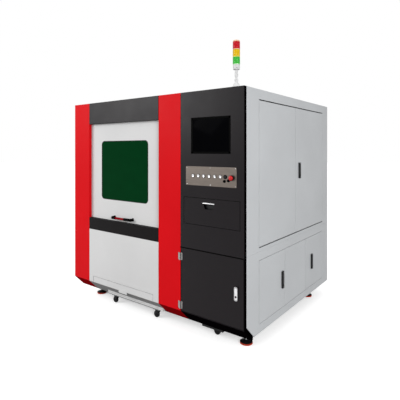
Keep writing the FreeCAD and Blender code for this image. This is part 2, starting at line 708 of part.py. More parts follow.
def scrap_drawer():
    """Drawer front folded with the toe's slope, a pull tab and an open tray behind it."""
    half = SCRAP_FRONT_W / 2.0
    front = toe_pan(BAY_CENTRE - half, BAY_CENTRE + half, SCRAP_FRONT_TOP)
    slope = CHAMFER_TOP + SHEET * ROOT2 + 6.0
    outline = [(SHEET, SCRAP_TRAY_TOP), (SHEET, slope - SHEET),
               (slope - SCRAP_TRAY_BOTTOM, SCRAP_TRAY_BOTTOM), (SCRAP_TRAY_END, SCRAP_TRAY_BOTTOM),
               (SCRAP_TRAY_END, SCRAP_TRAY_TOP)]
    bend = SHEET * (ROOT2 - 1.0)
    floor = SCRAP_TRAY_BOTTOM + SHEET
    inside = [(2 * SHEET, SCRAP_TRAY_TOP + 1.0), (2 * SHEET, slope - SHEET + bend),
              (slope + SHEET * ROOT2 - floor, floor), (SCRAP_TRAY_END - SHEET, floor),
              (SCRAP_TRAY_END - SHEET, SCRAP_TRAY_TOP + 1.0)]
    tray = side_prism(outline, SCRAP_LEFT, SCRAP_RIGHT)
    tray = tray.cut(side_prism(inside, SCRAP_LEFT + SHEET, SCRAP_RIGHT - SHEET))
    tab = BAY_CENTRE + SCRAP_TAB_X
    foot = CHAMFER_TOP - SCRAP_TAB_DROP
    pull = block(tab - SCRAP_TAB_W / 2.0, tab + SCRAP_TAB_W / 2.0, -SHEET, 0.0, foot, foot + SCRAP_TAB_H)
    return join(front, tray, pull)


def monitor():
    """Screen housing behind its window in the control column."""
    centre = X_RIGHT + MONITOR_X
    half = MONITOR_W / 2.0 + MONITOR_LAP
    bottom = MONITOR_BOTTOM - MONITOR_LAP
    top = MONITOR_BOTTOM + MONITOR_H + MONITOR_LAP
    back = SHEET + MONITOR_DEPTH
    case = block(centre - half, centre + half, SHEET, back, bottom, top)
    rim = MONITOR_RIM
    screen = block(centre - half + rim, centre + half - rim, 0.0, SHEET + 1.0, bottom + rim, top - rim)
    wide, high, deep = MONITOR_BACK
    middle = (bottom + top) / 2.0
    bump = block(centre - wide / 2.0, centre + wide / 2.0, back, back + deep,
                 middle - high / 2.0, middle + high / 2.0)
    return join(case.cut(screen), bump)


def column_openings():
    """Cut-outs of the control column: screen, switch plate, keyboard drawer."""
    screen = X_RIGHT + MONITOR_X
    plate = X_RIGHT + PLATE_X
    drawer = X_RIGHT + DRAWER_X
    outlines = [(screen, MONITOR_W, MONITOR_BOTTOM, MONITOR_H, 0.0),
                (plate, PLATE_W, PLATE_BOTTOM, PLATE_H, -PLATE_LIP),
                (drawer, DRAWER_W, DRAWER_BOTTOM, DRAWER_H, DOOR_GAP)]
    return [block(x - wide / 2.0 - grow, x + wide / 2.0 + grow, -1, SHEET + 1, low - grow, low + high + grow)
            for x, wide, low, high, grow in outlines]


def control_column():
    """Charcoal column: one folded skin with its toe and the rim that the cabinet door closes on."""
    x0 = CONTROL_LEFT
    shell = toe_pan(x0, X_RIGHT, BODY_HEIGHT)
    door_way = block(x0 + SHEET, X_RIGHT - SHEET, -1.0, FASCIA_DEPTH + 1.0, CHAMFER_TOP + SHEET, CABINET_TOP)
    shell = shell.cut(Part.makeCompound(column_openings() + [door_way]))
    shelf = block(x0 + SHEET, X_RIGHT - SHEET, 0.0, FASCIA_DEPTH, CABINET_TOP, CABINET_TOP + SHEET)
    rim_front = CABINET_DOOR_DEPTH + 1.0
    low = CHAMFER_TOP + SHEET
    rim = block(x0 + SHEET, X_RIGHT - SHEET, rim_front, rim_front + SHEET, low, CABINET_TOP)
    wide = CABINET_RIM
    rim = rim.cut(block(x0 + SHEET + wide, X_RIGHT - SHEET - wide, rim_front - 1, rim_front + SHEET + 1,
                        low + wide, CABINET_TOP - wide))
    lip = block(x0 + SHEET, X_RIGHT - SHEET, rim_front, rim_front + SHEET, low - 2 * SHEET, low + 2 * SHEET)
    return join(shell, shelf, rim, lip)


TRAY_HALF = DRAWER_W / 2.0 - TRAY_INSET


def drawer_slides():
    """Two cranked brackets behind the column's skin, along which the keyboard tray slides."""
    slides = []
    centre = X_RIGHT + DRAWER_X
    low = DRAWER_BOTTOM + SLIDE_RAISE
    high = low + SLIDE_H
    behind = LEAF_DEPTH + SHEET
    for side in (-1, 1):
        near = centre + side * (TRAY_HALF + RUN)
        web = near + side * SLIDE_WEB
        edge = centre + side * (DRAWER_W / 2.0 + DOOR_GAP + SLIDE_LEG)
        far = edge + side * SLIDE_LEG
        rail = block(min(near, web), max(near, web), behind, TRAY_LENGTH, low, high)
        bridge = block(min(near, far), max(near, far), behind, behind + SLIDE_SHEET, low, high)
        leg = block(min(edge, far), max(edge, far), SHEET, behind + SLIDE_SHEET, low, high)
        slides.append(join(rail, bridge, leg))
    return slides


def keyboard_drawer():
    """Flush front with a recessed pull, and a shallow tray for the keyboard."""
    centre = X_RIGHT + DRAWER_X
    half = DRAWER_W / 2.0
    bottom = DRAWER_BOTTOM
    front = block(centre - half, centre + half, 0.0, LEAF_DEPTH, bottom, bottom + DRAWER_H)
    front = front.cut(block(centre - half + SHEET, centre + half - SHEET, SHEET, LEAF_DEPTH + 1,
                            bottom + SHEET, bottom + DRAWER_H - SHEET))
    low = bottom + TRAY_RAISE
    tray = block(centre - TRAY_HALF, centre + TRAY_HALF, SHEET, TRAY_LENGTH, low, low + TRAY_H)
    tray = tray.cut(block(centre - TRAY_HALF + SHEET, centre + TRAY_HALF - SHEET, 2 * SHEET,
                          TRAY_LENGTH - SHEET, low + SHEET, low + TRAY_H + 1))
    pull = X_RIGHT + PULL_X
    wide = PULL_W / 2.0
    foot = wide - PULL_TAPER
    low = PULL_TOP - PULL_H
    cup = front_prism([(pull - wide, PULL_TOP), (pull + wide, PULL_TOP), (pull + foot, low),
                       (pull - foot, low)], 0.0, LEAF_DEPTH)
    t = SHEET
    hollow = front_prism([(pull - wide + t, PULL_TOP - t), (pull + wide - t, PULL_TOP - t),
                          (pull + foot - t / 2.0, low + t), (pull - foot + t / 2.0, low + t)],
                         -1.0, LEAF_DEPTH - t)
    lip = block(pull - wide, pull + wide, -PULL_LIP, 0.0, PULL_TOP - t, PULL_TOP + PULL_LIP)
    return join(front, tray, cup, lip).cut(hollow)


def control_plate():
    """Brushed plate with the bezel of every switch and the two capped sockets."""
    centre = X_RIGHT + PLATE_X
    half = PLATE_W / 2.0
    plate = rounded(block(centre - half, centre + half, -SHEET, 0.0, PLATE_BOTTOM, PLATE_BOTTOM + PLATE_H),
                    PLATE_RADIUS, along_depth)
    solids = [plate]
    bores = []
    front = -SHEET - BEZEL_PROUD
    for x, z in switch_places():
        solids.append(faceted(x, front, z, BEZEL_R, -front, (0, 1, 0)))
        bores.append(bore(x, front - 1, z, BUTTON_R + SWITCH_CLEARANCE, 2.0 - front, (0, 1, 0)))
    for x, z in SOCKETS:
        solids.append(faceted(X_RIGHT + x, front - 1.0, z, SOCKET_R, -front + 1.0 + SWITCH_DEPTH, (0, 1, 0)))
    return join(*solids).cut(Part.makeCompound(bores))


def switch_places():
    """Centres of the six push buttons, the key switch and the stop button."""
    first = X_RIGHT + BUTTON_X - (BUTTON_COUNT - 1) / 2.0 * BUTTON_PITCH
    places = [(first + i * BUTTON_PITCH, BUTTON_Z) for i in range(BUTTON_COUNT)]
    return places + [(X_RIGHT + KEY_X, BUTTON_Z), (X_RIGHT + STOP_X, STOP_Z)]


CAP_FRONT = -SHEET - BEZEL_PROUD - CAP_PROUD


def push_button(x, z):
    return faceted(x, CAP_FRONT, z, BUTTON_R, -CAP_FRONT + SWITCH_DEPTH, (0, 1, 0))


def key_switch(x, z):
    core = faceted(x, CAP_FRONT, z, BUTTON_R, -CAP_FRONT + SWITCH_DEPTH, (0, 1, 0))
    wide, high, deep = KEY_SLOT
    slot = block(x - wide / 2.0, x + wide / 2.0, CAP_FRONT - 1, CAP_FRONT + deep,
                 z - high / 2.0, z + high / 2.0)
    return core.cut(slot)


def stop_button(x, z):
    """Red mushroom head on a stem that slides in its bezel."""
    profile = [(STOP_R - STOP_EDGE, 0.0), (STOP_R, STOP_EDGE), (STOP_R - 2.0, STOP_HEAD),
               (BUTTON_R, STOP_HEAD + 0.5), (BUTTON_R, FRONT_PROUD + SWITCH_DEPTH)]
    return turned(x, -FRONT_PROUD, z, profile, (0, 1, 0))


# ---------------------------------------------------------------- lift door
def front_door():
    """White door folded as a tray, with a rounded window opening and its sealing return."""
    x0 = BAY_LEFT - DOOR_OVERLAP
    x1 = BAY_RIGHT + DOOR_OVERLAP
    outer = block(x0, x1, DOOR_RECESS, DOOR_BACK, DOOR_BOTTOM, DOOR_TOP)
    outer = outer.cut(block(x0 + SHEET, x1 - SHEET, DOOR_RECESS + SHEET, DOOR_BACK + 1, DOOR_BOTTOM + SHEET,
                            DOOR_TOP - SHEET))
    return outer.cut(window_block(0.0, DOOR_RECESS - 1, DOOR_RECESS + SHEET + 1))


def window_block(grow, d0, d1):
    half = WINDOW_W / 2.0 + grow
    low = WINDOW_BOTTOM - grow
    high = WINDOW_BOTTOM + WINDOW_H + grow
    shape = block(BAY_CENTRE - half, BAY_CENTRE + half, d0, d1, low, high)
    return rounded(shape, WINDOW_RADIUS + grow, along_depth)


def door_window():
    """Pane that fills its opening flush with the door and laps behind the sheet."""
    behind = DOOR_RECESS + SHEET
    return join(window_block(-WINDOW_FIT, DOOR_RECESS, behind),
                window_block(WINDOW_LAP, behind, behind + GLASS))


def door_handle():
    """Bow handle: a bar bent back to the door at both ends, with a thicker sleeve to grip."""
    half = HANDLE_SPAN / 2.0
    face = DOOR_RECESS
    front = face - HANDLE_REACH + HANDLE_SLEEVE
    back = front + HANDLE_THICK
    corner = HANDLE_CORNER
    side = [(half, face), (half, front + corner), (half - corner * 0.3, front + corner * 0.3),
            (half - corner, front)]
    leg = half - HANDLE_THICK
    inner = [(leg, face), (leg, back + corner / 3.0), (leg - corner / 3.0, back)]
    outline = side + [(-x, d) for x, d in reversed(side)] + [(-x, d) for x, d in inner] + inner[::-1]
    rise = HANDLE_HEIGHT / 2.0 - HANDLE_SLEEVE
    bow = plan_prism([(BAY_CENTRE + x, d) for x, d in outline], HANDLE_Z - rise, HANDLE_Z + rise)
    grip = HANDLE_GRIP / 2.0
    rise += HANDLE_SLEEVE
    sleeve = block(BAY_CENTRE - grip, BAY_CENTRE + grip, front - HANDLE_SLEEVE, back + HANDLE_SLEEVE,
                   HANDLE_Z - rise, HANDLE_Z + rise)
    return join(bow, sleeve)


# ---------------------------------------------------------------- cabinet door, hinges and latch
def cabinet_edges():
    return CONTROL_LEFT + SHEET + DOOR_GAP, X_RIGHT - SHEET - DOOR_GAP


def hinge_axis():
    return CONTROL_LEFT - SEAM / 2.0, -KNUCKLE_R


def cabinet_door():
    x0, x1 = cabinet_edges()
    h0 = CHAMFER_TOP + SHEET + DOOR_GAP
    h1 = CABINET_TOP - DOOR_GAP
    door = pan(x0, x1, h0, h1, CABINET_DOOR_DEPTH)
    axis_x, axis_d = hinge_axis()
    half = KNUCKLE_H / 2.0 - RUN
    parts = [door]
    for z in HINGE_Z:
        right = axis_x + HINGE_W / 2.0
        parts.append(block(x0, right, -HINGE_LEAF, 0.0, z - HINGE_H / 2.0, z + HINGE_H / 2.0))
        parts.append(block(axis_x, x0 + 1.0, -HINGE_LEAF - 1.0, 0.0, z - half, z + half))
        parts.append(faceted(axis_x, axis_d, z - half, KNUCKLE_R, 2 * half, (0, 0, 1)))
    door = join(*parts)
    bores = [bore(axis_x, axis_d, z - half - 1, HINGE_PIN_R + PIVOT_CLEARANCE, 2 * half + 2, (0, 0, 1), 8)
             for z in HINGE_Z]
    return join(door.cut(Part.makeCompound(bores)), latch_parts()[0])


KNUCKLE_H = HINGE_H / 3.0


def cabinet_hinges():
    """Fixed halves of two chrome hinges: a leaf on the red column, two knuckles and the pin."""
    axis_x, axis_d = hinge_axis()
    hinges = []
    for z in HINGE_Z:
        left = axis_x - HINGE_W / 2.0
        inner = axis_x - HINGE_NECK
        parts = [block(left, inner, -HINGE_LEAF, 0.0, z - HINGE_H / 2.0, z + HINGE_H / 2.0)]
        for low in (z - HINGE_H / 2.0, z + KNUCKLE_H / 2.0):
            parts.append(block(inner - 1.0, axis_x, -HINGE_LEAF - 1.0, 0.0, low, low + KNUCKLE_H))
            parts.append(faceted(axis_x, axis_d, low, KNUCKLE_R, KNUCKLE_H, (0, 0, 1)))
        parts.append(faceted(axis_x, axis_d, z - HINGE_H / 2.0, HINGE_PIN_R, HINGE_H, (0, 0, 1), 8))
        hinges.append(join(*parts))
    return hinges


def lock_solids(width, height):
    """A paddle lock in its own frame: X across, Z up, -Y outwards, pin at the origin's height."""
    half = width / 2.0
    pin_out = LOCK_PROUD / 2.0 + 1.0
    thick = LOCK_PROUD - pin_out
    swing = half - LOCK_EAR - RUN
    base = Part.makeBox(width, LOCK_BASE, height, FreeCAD.Vector(-half, -LOCK_BASE, -height / 2.0))
    top = height / 2.0 - LOCK_PIN_DROP
    ears = []
    for x in (-half, half - LOCK_EAR):
        ears.append(Part.makeBox(LOCK_EAR, LOCK_PROUD - LOCK_BASE - LOCK_EAR_BACK, LOCK_EAR_H,
                                 FreeCAD.Vector(x, LOCK_EAR_BACK - LOCK_PROUD, top - LOCK_EAR_H / 2.0)))
    hole = bore(-half - 1, 0, 0, LOCK_PIN_R + PIVOT_CLEARANCE, width + 2, (1, 0, 0), 8)
    hole.translate(FreeCAD.Vector(0, -pin_out, top) - place(0, 0, 0))
    base = join(base, *ears).cut(hole)
    radius = pin_out - LOCK_BASE - RUN
    low = -height / 2.0 + LOCK_FOOT
    paddle = Part.makeBox(2 * swing, thick + radius, top - low, FreeCAD.Vector(-swing, -LOCK_PROUD, low))
    crown = faceted(-swing, 0, 0, radius, 2 * swing, (1, 0, 0), 8)
    pin = faceted(-half, 0, 0, LOCK_PIN_R, width, (1, 0, 0), 8)
    for shape in (crown, pin):
        shape.translate(FreeCAD.Vector(0, -pin_out, top) - place(0, 0, 0))
    paddle = join(paddle, crown, pin)
    return base, paddle, FreeCAD.Vector(0, -pin_out, top)


def latch_parts():
    """The chrome latch of the cabinet door."""
    base, paddle, pin = lock_solids(LATCH_W, LATCH_H)
    spot = place(X_RIGHT + LATCH_X, 0.0, LATCH_Z)
    for shape in (base, paddle):
        shape.translate(spot)
    return base, paddle, pin + spot


# ---------------------------------------------------------------- side cladding
LOCKS = {"upper_lock_paddle": UPPER_LOCK, "lower_front_lock_paddle": LOWER_FRONT_LOCK,
         "lower_rear_lock_paddle": LOWER_REAR_LOCK}


def side_lock(name):
    """A black plane lock on a leaf of the right side."""
    base, paddle, pin = lock_solids(LOCK_W, LOCK_H)
    depth, height = LOCKS[name]
    spot = place(X_RIGHT, depth, height)
    turn = FreeCAD.Rotation(FreeCAD.Vector(0, 0, 1), 90)
    for shape in (base, paddle):
        shape.rotate(FreeCAD.Vector(0, 0, 0), FreeCAD.Vector(0, 0, 1), 90)
        shape.translate(spot)
    return base, paddle, turn.multVec(pin) + spot


SIDE_END = REAR - SHEET


def side_outline(h0, h1):
    """Outline of a side skin; the lowest one has the toe's slope at its front."""
    if h0 > SIDE_CHAMFER:
        return [(SIDE_START, h0), (SIDE_START, h1), (SIDE_END, h1), (SIDE_END, h0)]
    return [(SIDE_START, SIDE_CHAMFER), (SIDE_START, h1), (SIDE_END, h1), (SIDE_END, h0),
            (SIDE_START + SIDE_CHAMFER, h0)]


def grown(outline, grow):
    """The same outline moved inwards by grow, found by a scaled offset of its wire."""
    points = [place(0.0, d, h) for d, h in outline]
    wire = Part.makePolygon(points + points[:1])
    return wire.makeOffset2D(-grow, 2)


def side_skin(plane, inward, h0, h1):
    """A side sheet with returns on its edges; inward is -1 on the right side, +1 on the left."""
    outline = side_outline(h0, h1)
    x0, x1 = sorted((plane, plane + inward * RETURN))
    outer = side_prism(outline, x0, x1)
    cavity = Part.Face(grown(outline, SHEET))
    cavity.translate(FreeCAD.Vector(min(plane + inward * SHEET, plane + inward * (RETURN + 1.0)), 0, 0))
    return outer.cut(cavity.extrude(FreeCAD.Vector(RETURN + 1.0 - SHEET, 0, 0)))


def right_opening(opening):
    """The frame of returns round an opening in the right side, and the hole that it lines."""
    d0, d1, h0, h1 = opening
    rim = block(X_RIGHT - RETURN, X_RIGHT, d0 - SHEET, d1 + SHEET, h0 - SHEET, h1 + SHEET)
    hole = block(X_RIGHT - RETURN - 1, X_RIGHT + 1, d0, d1, h0, h1)
    return rim, hole


def pivot_holes(opening, depths):
    d0, d1, h0, h1 = opening
    x = X_RIGHT - PIVOT_INSET
    return [bore(x, depth, h - SHEET - 1, PIVOT_R + PIVOT_CLEARANCE, 2 * SHEET + 2, (0, 0, 1), 8)
            for depth in depths for h in (h0, h1)]


def pivot_depths(opening):
    inset = DOOR_GAP + PIVOT_INSET
    return opening[0] + inset, opening[1] - inset


def leaf(opening, d0, d1, pivots):
    """A door leaf: folded tray with two pivot pins at its hinged edge, if it has one."""
    h0 = opening[2] + DOOR_GAP
    h1 = opening[3] - DOOR_GAP
    tray = block(X_RIGHT - LEAF_DEPTH, X_RIGHT, d0, d1, h0, h1)
    tray = tray.cut(block(X_RIGHT - LEAF_DEPTH - 1, X_RIGHT - SHEET, d0 + SHEET, d1 - SHEET,
                          h0 + SHEET, h1 - SHEET))
    pins = []
    reach = DOOR_GAP + SHEET
    for depth in pivots:
        pins.append(faceted(X_RIGHT - PIVOT_INSET, depth, h1, PIVOT_R, reach, (0, 0, 1), 8))
        pins.append(faceted(X_RIGHT - PIVOT_INSET, depth, h0 - reach, PIVOT_R, reach, (0, 0, 1), 8))
    return join(tray, *pins)


def right_leaves():
    """Leaves by name, with the pivot depth of each."""
    u0, u1 = UPPER_OPENING[:2]
    l0, l1 = LOWER_OPENING[:2]
    half = DOOR_GAP / 2.0
    front, rear = pivot_depths(UPPER_OPENING)
    low_front, low_rear = pivot_depths(LOWER_OPENING)
    return {"right_upper_front_leaf": (UPPER_OPENING, u0 + DOOR_GAP, UPPER_SEAM - half, front),
            "right_upper_rear_leaf": (UPPER_OPENING, UPPER_SEAM + half, u1 - DOOR_GAP, rear),
            "right_lower_front_leaf": (LOWER_OPENING, l0 + DOOR_GAP, LOWER_SEAMS[0] - half, low_front),
            "right_lower_rear_leaf": (LOWER_OPENING, LOWER_SEAMS[1] + half, l1 - DOOR_GAP, low_rear)}


LEAF_LOCKS = {"right_upper_rear_leaf": "upper_lock_paddle",
              "right_lower_front_leaf": "lower_front_lock_paddle",
              "right_lower_rear_leaf": "lower_rear_lock_paddle"}


def right_side_skins():
    """Upper and lower sheets of the right side and the fixed middle cover of the lower one."""
    skins = []
    spans = ((SIDE_SPLIT, ROOF_UNDER, UPPER_OPENING), (0.0, SIDE_SPLIT - SEAM, LOWER_OPENING))
    for h0, h1, opening in spans:
        rim, hole = right_opening(opening)
        skin = join(side_skin(X_RIGHT, -1, h0, h1), rim).cut(hole)
        skins.append(skin.cut(Part.makeCompound(pivot_holes(opening, pivot_depths(opening)))))
    half = DOOR_GAP / 2.0
    middle = leaf(LOWER_OPENING, LOWER_SEAMS[0] + half, LOWER_SEAMS[1] - half, ())
    centre = sum(LOWER_SEAMS) / 2.0
    inside = X_RIGHT - LEAF_DEPTH
    long, wide = COVER_TAB
    for low, high in ((LOWER_OPENING[2], LOWER_OPENING[2] + DOOR_GAP + SHEET),
                      (LOWER_OPENING[3] - DOOR_GAP - SHEET, LOWER_OPENING[3])):
        tab = block(inside, inside + wide, centre - long / 2.0, centre + long / 2.0, low, high)
        middle = join(middle, tab)
    return skins + [middle]


def left_side_skins():
    """Upper and lower sheets of the left side, with cooling slots low at the back."""
    upper = side_skin(X_LEFT, 1, SIDE_SPLIT, ROOF_UNDER)
    lower = side_skin(X_LEFT, 1, 0.0, SIDE_SPLIT - SEAM)
    return [upper, lower.cut(Part.makeCompound(slots(X_LEFT, *LEFT_SLOTS)))]


def slots(plane, depth, height):
    levels = [height + i * SLOT_PITCH for i in range(SLOT_COUNT)]
    return [block(plane - 1, plane + SHEET + 1, depth, depth + SLOT_LENGTH, low, low + SLOT_H)
            for low in levels]


# ---------------------------------------------------------------- roof and back
def roof_panel():
    """Flat sheet with stiffening folds, notched at the front where the lift door passes."""
    x0 = X_LEFT + RETURN + SEAM
    x1 = X_RIGHT - RETURN - SEAM
    sheet = block(X_LEFT, X_RIGHT, SIDE_START, REAR, ROOF_UNDER, BODY_HEIGHT)
    notch = block(LEFT_GUIDE, RIGHT_GUIDE, 0.0, GUIDE_BACK + 1.0, ROOF_UNDER - 1, BODY_HEIGHT + 1)
    sheet = sheet.cut(notch)
    folds = []
    low = ROOF_UNDER - ROOF_FOLD_H
    for depth in ROOF_FOLDS:
        for a, b in ((x0, LEFT_BEAM - SHEET), (LEFT_BEAM + POST + SHEET, RIGHT_BEAM - SHEET)):
            folds.append(block(a, b, depth, depth + ROOF_FOLD_W, low, ROOF_UNDER))
    return join(sheet, *folds)


def rear_panel():
    """Back sheet with returns and two groups of slots, the exhaust collar and the cable entry."""
    inset = RETURN + SEAM
    x0 = X_LEFT + inset
    x1 = X_RIGHT - inset
    top = ROOF_UNDER - inset
    sheet = block(X_LEFT, X_RIGHT, REAR - SHEET, REAR, 0.0, ROOF_UNDER)
    ring = block(x0, x1, REAR - RETURN, REAR - SHEET, inset, top)
    ring = ring.cut(block(x0 + SHEET, x1 - SHEET, REAR - RETURN - 1, REAR, inset + SHEET, top - SHEET))
    holes = [rod(BAY_CENTRE, REAR - RETURN, EXHAUST_Z, EXHAUST_R - SHEET, 2 * RETURN, (0, 1, 0)),
             rod(ENTRY_X, REAR - RETURN, ENTRY_Z, ENTRY_R, 2 * RETURN, (0, 1, 0))]
    slot_x = X_RIGHT + REAR_SLOTS_X
    for height in REAR_SLOTS:
        for low in (height + i * SLOT_PITCH for i in range(SLOT_COUNT)):
            holes.append(block(slot_x, slot_x + SLOT_LENGTH, REAR - RETURN, REAR + 1, low, low + SLOT_H))
    panel = join(sheet, ring).cut(Part.makeCompound(holes))
    return join(panel, pipe(BAY_CENTRE, EXHAUST_Z, EXHAUST_R - SHEET, SHEET, EXHAUST_LENGTH),
                pipe(ENTRY_X, ENTRY_Z, ENTRY_R, ENTRY_WALL, ENTRY_LENGTH))


def pipe(x, height, inside, wall, length):
    """A round collar on the outside of the back sheet."""
    outer = rod(x, REAR, height, inside + wall, length, (0, 1, 0))
    return outer.cut(rod(x, REAR - 1.0, height, inside, length + 2.0, (0, 1, 0)))


# ---------------------------------------------------------------- inside
PARTITION_X = MID_BEAM + TUBE


def partition():
    """Wall between the work bay and the control side, with the rails, drives and computer on it."""
    x = PARTITION_X
    wall = block(x, x + SHEET, GUIDE_BACK + 10.0, REAR - RETURN - DOOR_GAP,
                 RING_TOP + SHEET, TOP_RING - SHEET)
    face = x + SHEET + DEVICE_RAIL
    rails = [block(x + SHEET, face, *DEVICE_RAIL_SPAN, h, h + DEVICE_RAIL_H) for h in DEVICE_RAILS]
    wall = join(wall, *rails)
    devices = []
    rows = ((DRIVE, DRIVE_COUNT, DRIVE_PITCH), (BREAKER, BREAKER_COUNT, BREAKER_PITCH))
    for ((wide, reach, high), count, pitch), rail in zip(rows, DEVICE_RAILS):
        low = rail + (DEVICE_RAIL_H - high) / 2.0
        for i in range(count):
            depth = DEVICE_FRONT + i * pitch
            devices.append(block(face, face + reach, depth, depth + wide, low, low + high))
    wide, long, high = COMPUTER
    devices.append(block(x + SHEET, x + SHEET + wide, COMPUTER_FRONT, COMPUTER_FRONT + long,
                         COMPUTER_BOTTOM, COMPUTER_BOTTOM + high))
    return [wall] + devices


BED_LEFT = BAY_CENTRE - BED_W / 2.0
BED_RIGHT = BAY_CENTRE + BED_W / 2.0
RAIL_CENTRES = (BED_LEFT + BED_BEAM_W / 2.0, BED_RIGHT - BED_BEAM_W / 2.0)


def machine_bed():
    """Bed with its opening, the two long rails and the funnel that leads scrap to the drawer."""
    bed = block(BED_LEFT, BED_RIGHT, BED_FRONT, BED_REAR, BED_BOTTOM, BED_TOP)
    well = (BED_LEFT + BED_BEAM_W, BED_RIGHT - BED_BEAM_W, BED_FRONT + BED_CROSS, BED_REAR - BED_CROSS)
    bed = bed.cut(block(*well, BED_BOTTOM - 1, BED_TOP + 1))
    rails = []
    for x in RAIL_CENTRES:
        half = RAIL_W / 2.0
        rails.append(block(x - half, x + half, BED_FRONT + RAIL_END_MARGIN, BED_REAR - RAIL_END_MARGIN,
                           BED_TOP, BED_TOP + RAIL_H))
    return [bed] + rails + [hopper(well)]


def hopper(well):
    """A four-sided funnel of sheet, open above and below."""
    x0, x1, d0, d1 = well
    top = BED_BOTTOM + HOPPER_LAP
    outlet = (SCRAP_LEFT + HOPPER_INSET, SCRAP_RIGHT - HOPPER_INSET, HOPPER_FRONT,
              SCRAP_TRAY_END - HOPPER_LAP)
    mouth = (x0, x1, d0, d1)
    levels = [(outlet, HOPPER_OUTLET), (mouth, BED_BEAM_BOTTOM - 10.0), (mouth, top)]
    solids = []
    for inset, extra in ((0.0, 0.0), (SHEET, 5.0)):
        parts = []
        for (rect0, h0), (rect1, h1) in zip(levels, levels[1:]):
            parts.append(frustum(rect0, h0, rect1, h1, inset))
        if extra:
            parts.append(frustum(outlet, HOPPER_OUTLET - extra, outlet, HOPPER_OUTLET, inset))
            parts.append(frustum(mouth, top, mouth, top + extra, inset))
        solids.append(join(*parts))
    return solids[0].cut(solids[1])


def frustum(rect0, h0, rect1, h1, inset):
    """A solid between two level rectangles (x0, x1, d0, d1), each drawn in by inset."""
    rings = []
    for (a, b, c, d), height in ((rect0, h0), (rect1, h1)):
        corners = [(a + inset, c + inset), (b - inset, c + inset), (b - inset, d - inset),
                   (a + inset, d - inset)]
        rings.append([place(x, y, height) for x, y in corners])
    low, high = rings
    sides = [[low[i], low[(i + 1) % 4], high[(i + 1) % 4], high[i]] for i in range(4)]
    return closed_solid([low, high] + sides)


def work_table():
    """Two side rails and a row of toothed slats that hold the sheet being cut."""
    x0, x1 = BED_LEFT + BED_BEAM_W + 10.0, BED_RIGHT - BED_BEAM_W - 10.0
    parts = [block(x, x + TABLE_RAIL, BED_FRONT + 2.0, BED_REAR - 2.0, BED_TOP, BED_TOP + TABLE_RAIL_H)
             for x in (x0, x1 - TABLE_RAIL)]
    inner0 = x0 + TABLE_RAIL
    inner1 = x1 - TABLE_RAIL
    pitch = (inner1 - inner0) / SLAT_TEETH
    valley = SLAT_TOP - SLAT_TOOTH
    outline = [(inner0, SLAT_TOP - SLAT_H), (inner0, valley)]
    for i in range(SLAT_TEETH):
        outline += [(inner0 + (i + 0.5) * pitch, SLAT_TOP), (inner0 + (i + 1) * pitch, valley)]
    outline.append((inner1, SLAT_TOP - SLAT_H))
    first = BED_FRONT + BED_CROSS + TABLE_MARGIN
    last = BED_REAR - BED_CROSS - TABLE_MARGIN - SLAT
    for i in range(SLAT_COUNT):
        depth = first + i * (last - first) / (SLAT_COUNT - 1)
        parts.append(front_prism(outline, depth, depth + SLAT))
    return parts


BEAM_FRONT = GANTRY_Y - BEAM_D / 2.0
XRAIL_LEVELS = (CARRIAGE_TOP + XRAIL_INSET, CARRIAGE_TOP + BEAM_H - XRAIL_INSET - XRAIL)


def gantry_beam():
    """Cross beam on two carriages that straddle the long rails, with two rails on its front."""
    parts = []
    for x in RAIL_CENTRES:
        body = block(x - CARRIAGE_W / 2.0, x + CARRIAGE_W / 2.0, GANTRY_Y - CARRIAGE_L / 2.0,
                     GANTRY_Y + CARRIAGE_L / 2.0, BED_TOP + 3.0, CARRIAGE_TOP)
        half = RAIL_W / 2.0 + RUN
        groove = block(x - half, x + half, 0.0, REAR, BED_TOP, BED_TOP + RAIL_H + RUN)
        parts.append(body.cut(groove))
    x0 = RAIL_CENTRES[0] - CARRIAGE_W / 2.0
    x1 = RAIL_CENTRES[1] + CARRIAGE_W / 2.0
    beam = block(x0, x1, BEAM_FRONT, BEAM_FRONT + BEAM_D, CARRIAGE_TOP, CARRIAGE_TOP + BEAM_H)
    w = BEAM_WALL
    beam = beam.cut(block(x0 - 1, x1 + 1, BEAM_FRONT + w, BEAM_FRONT + BEAM_D - w, CARRIAGE_TOP + w,
                          CARRIAGE_TOP + BEAM_H - w))
    parts.append(beam)
    for h in XRAIL_LEVELS:
        parts.append(block(x0, x1, BEAM_FRONT - XRAIL_H, BEAM_FRONT, h, h + XRAIL))
    return join(*parts)


PLATE_FACE = BEAM_FRONT - XRAIL_H - RUN - 4.0 - XPLATE_T


def x_carriage():
    """Plate that runs along the beam on two grooved blocks, with an upright rail in front."""
    x0 = BAY_CENTRE - XPLATE_W / 2.0
    x1 = BAY_CENTRE + XPLATE_W / 2.0
    back = PLATE_FACE + XPLATE_T
    top = CARRIAGE_TOP + BEAM_H + XPLATE_RISE
    parts = [block(x0, x1, PLATE_FACE, back, CARRIAGE_TOP, top)]
    for h in XRAIL_LEVELS:
        runner = block(x0, x1, back, BEAM_FRONT - DOOR_GAP, h - RUNNER_LAP, h + XRAIL + RUNNER_LAP)
        groove = block(x0 - 1, x1 + 1, BEAM_FRONT - XRAIL_H - RUN, BEAM_FRONT, h - RUN, h + XRAIL + RUN)
        parts.append(runner.cut(groove))
    half = ZRAIL_W / 2.0
    parts.append(block(BAY_CENTRE - half, BAY_CENTRE + half, PLATE_FACE - ZRAIL_H, PLATE_FACE, CARRIAGE_TOP,
                       top - ZRAIL_H))
    return join(*parts)


HEAD_BACK = PLATE_FACE - HEAD_GAP
HEAD_Y = PLATE_FACE - HEAD_REACH
NOZZLE_TIP = SLAT_TOP + NOZZLE_GAP


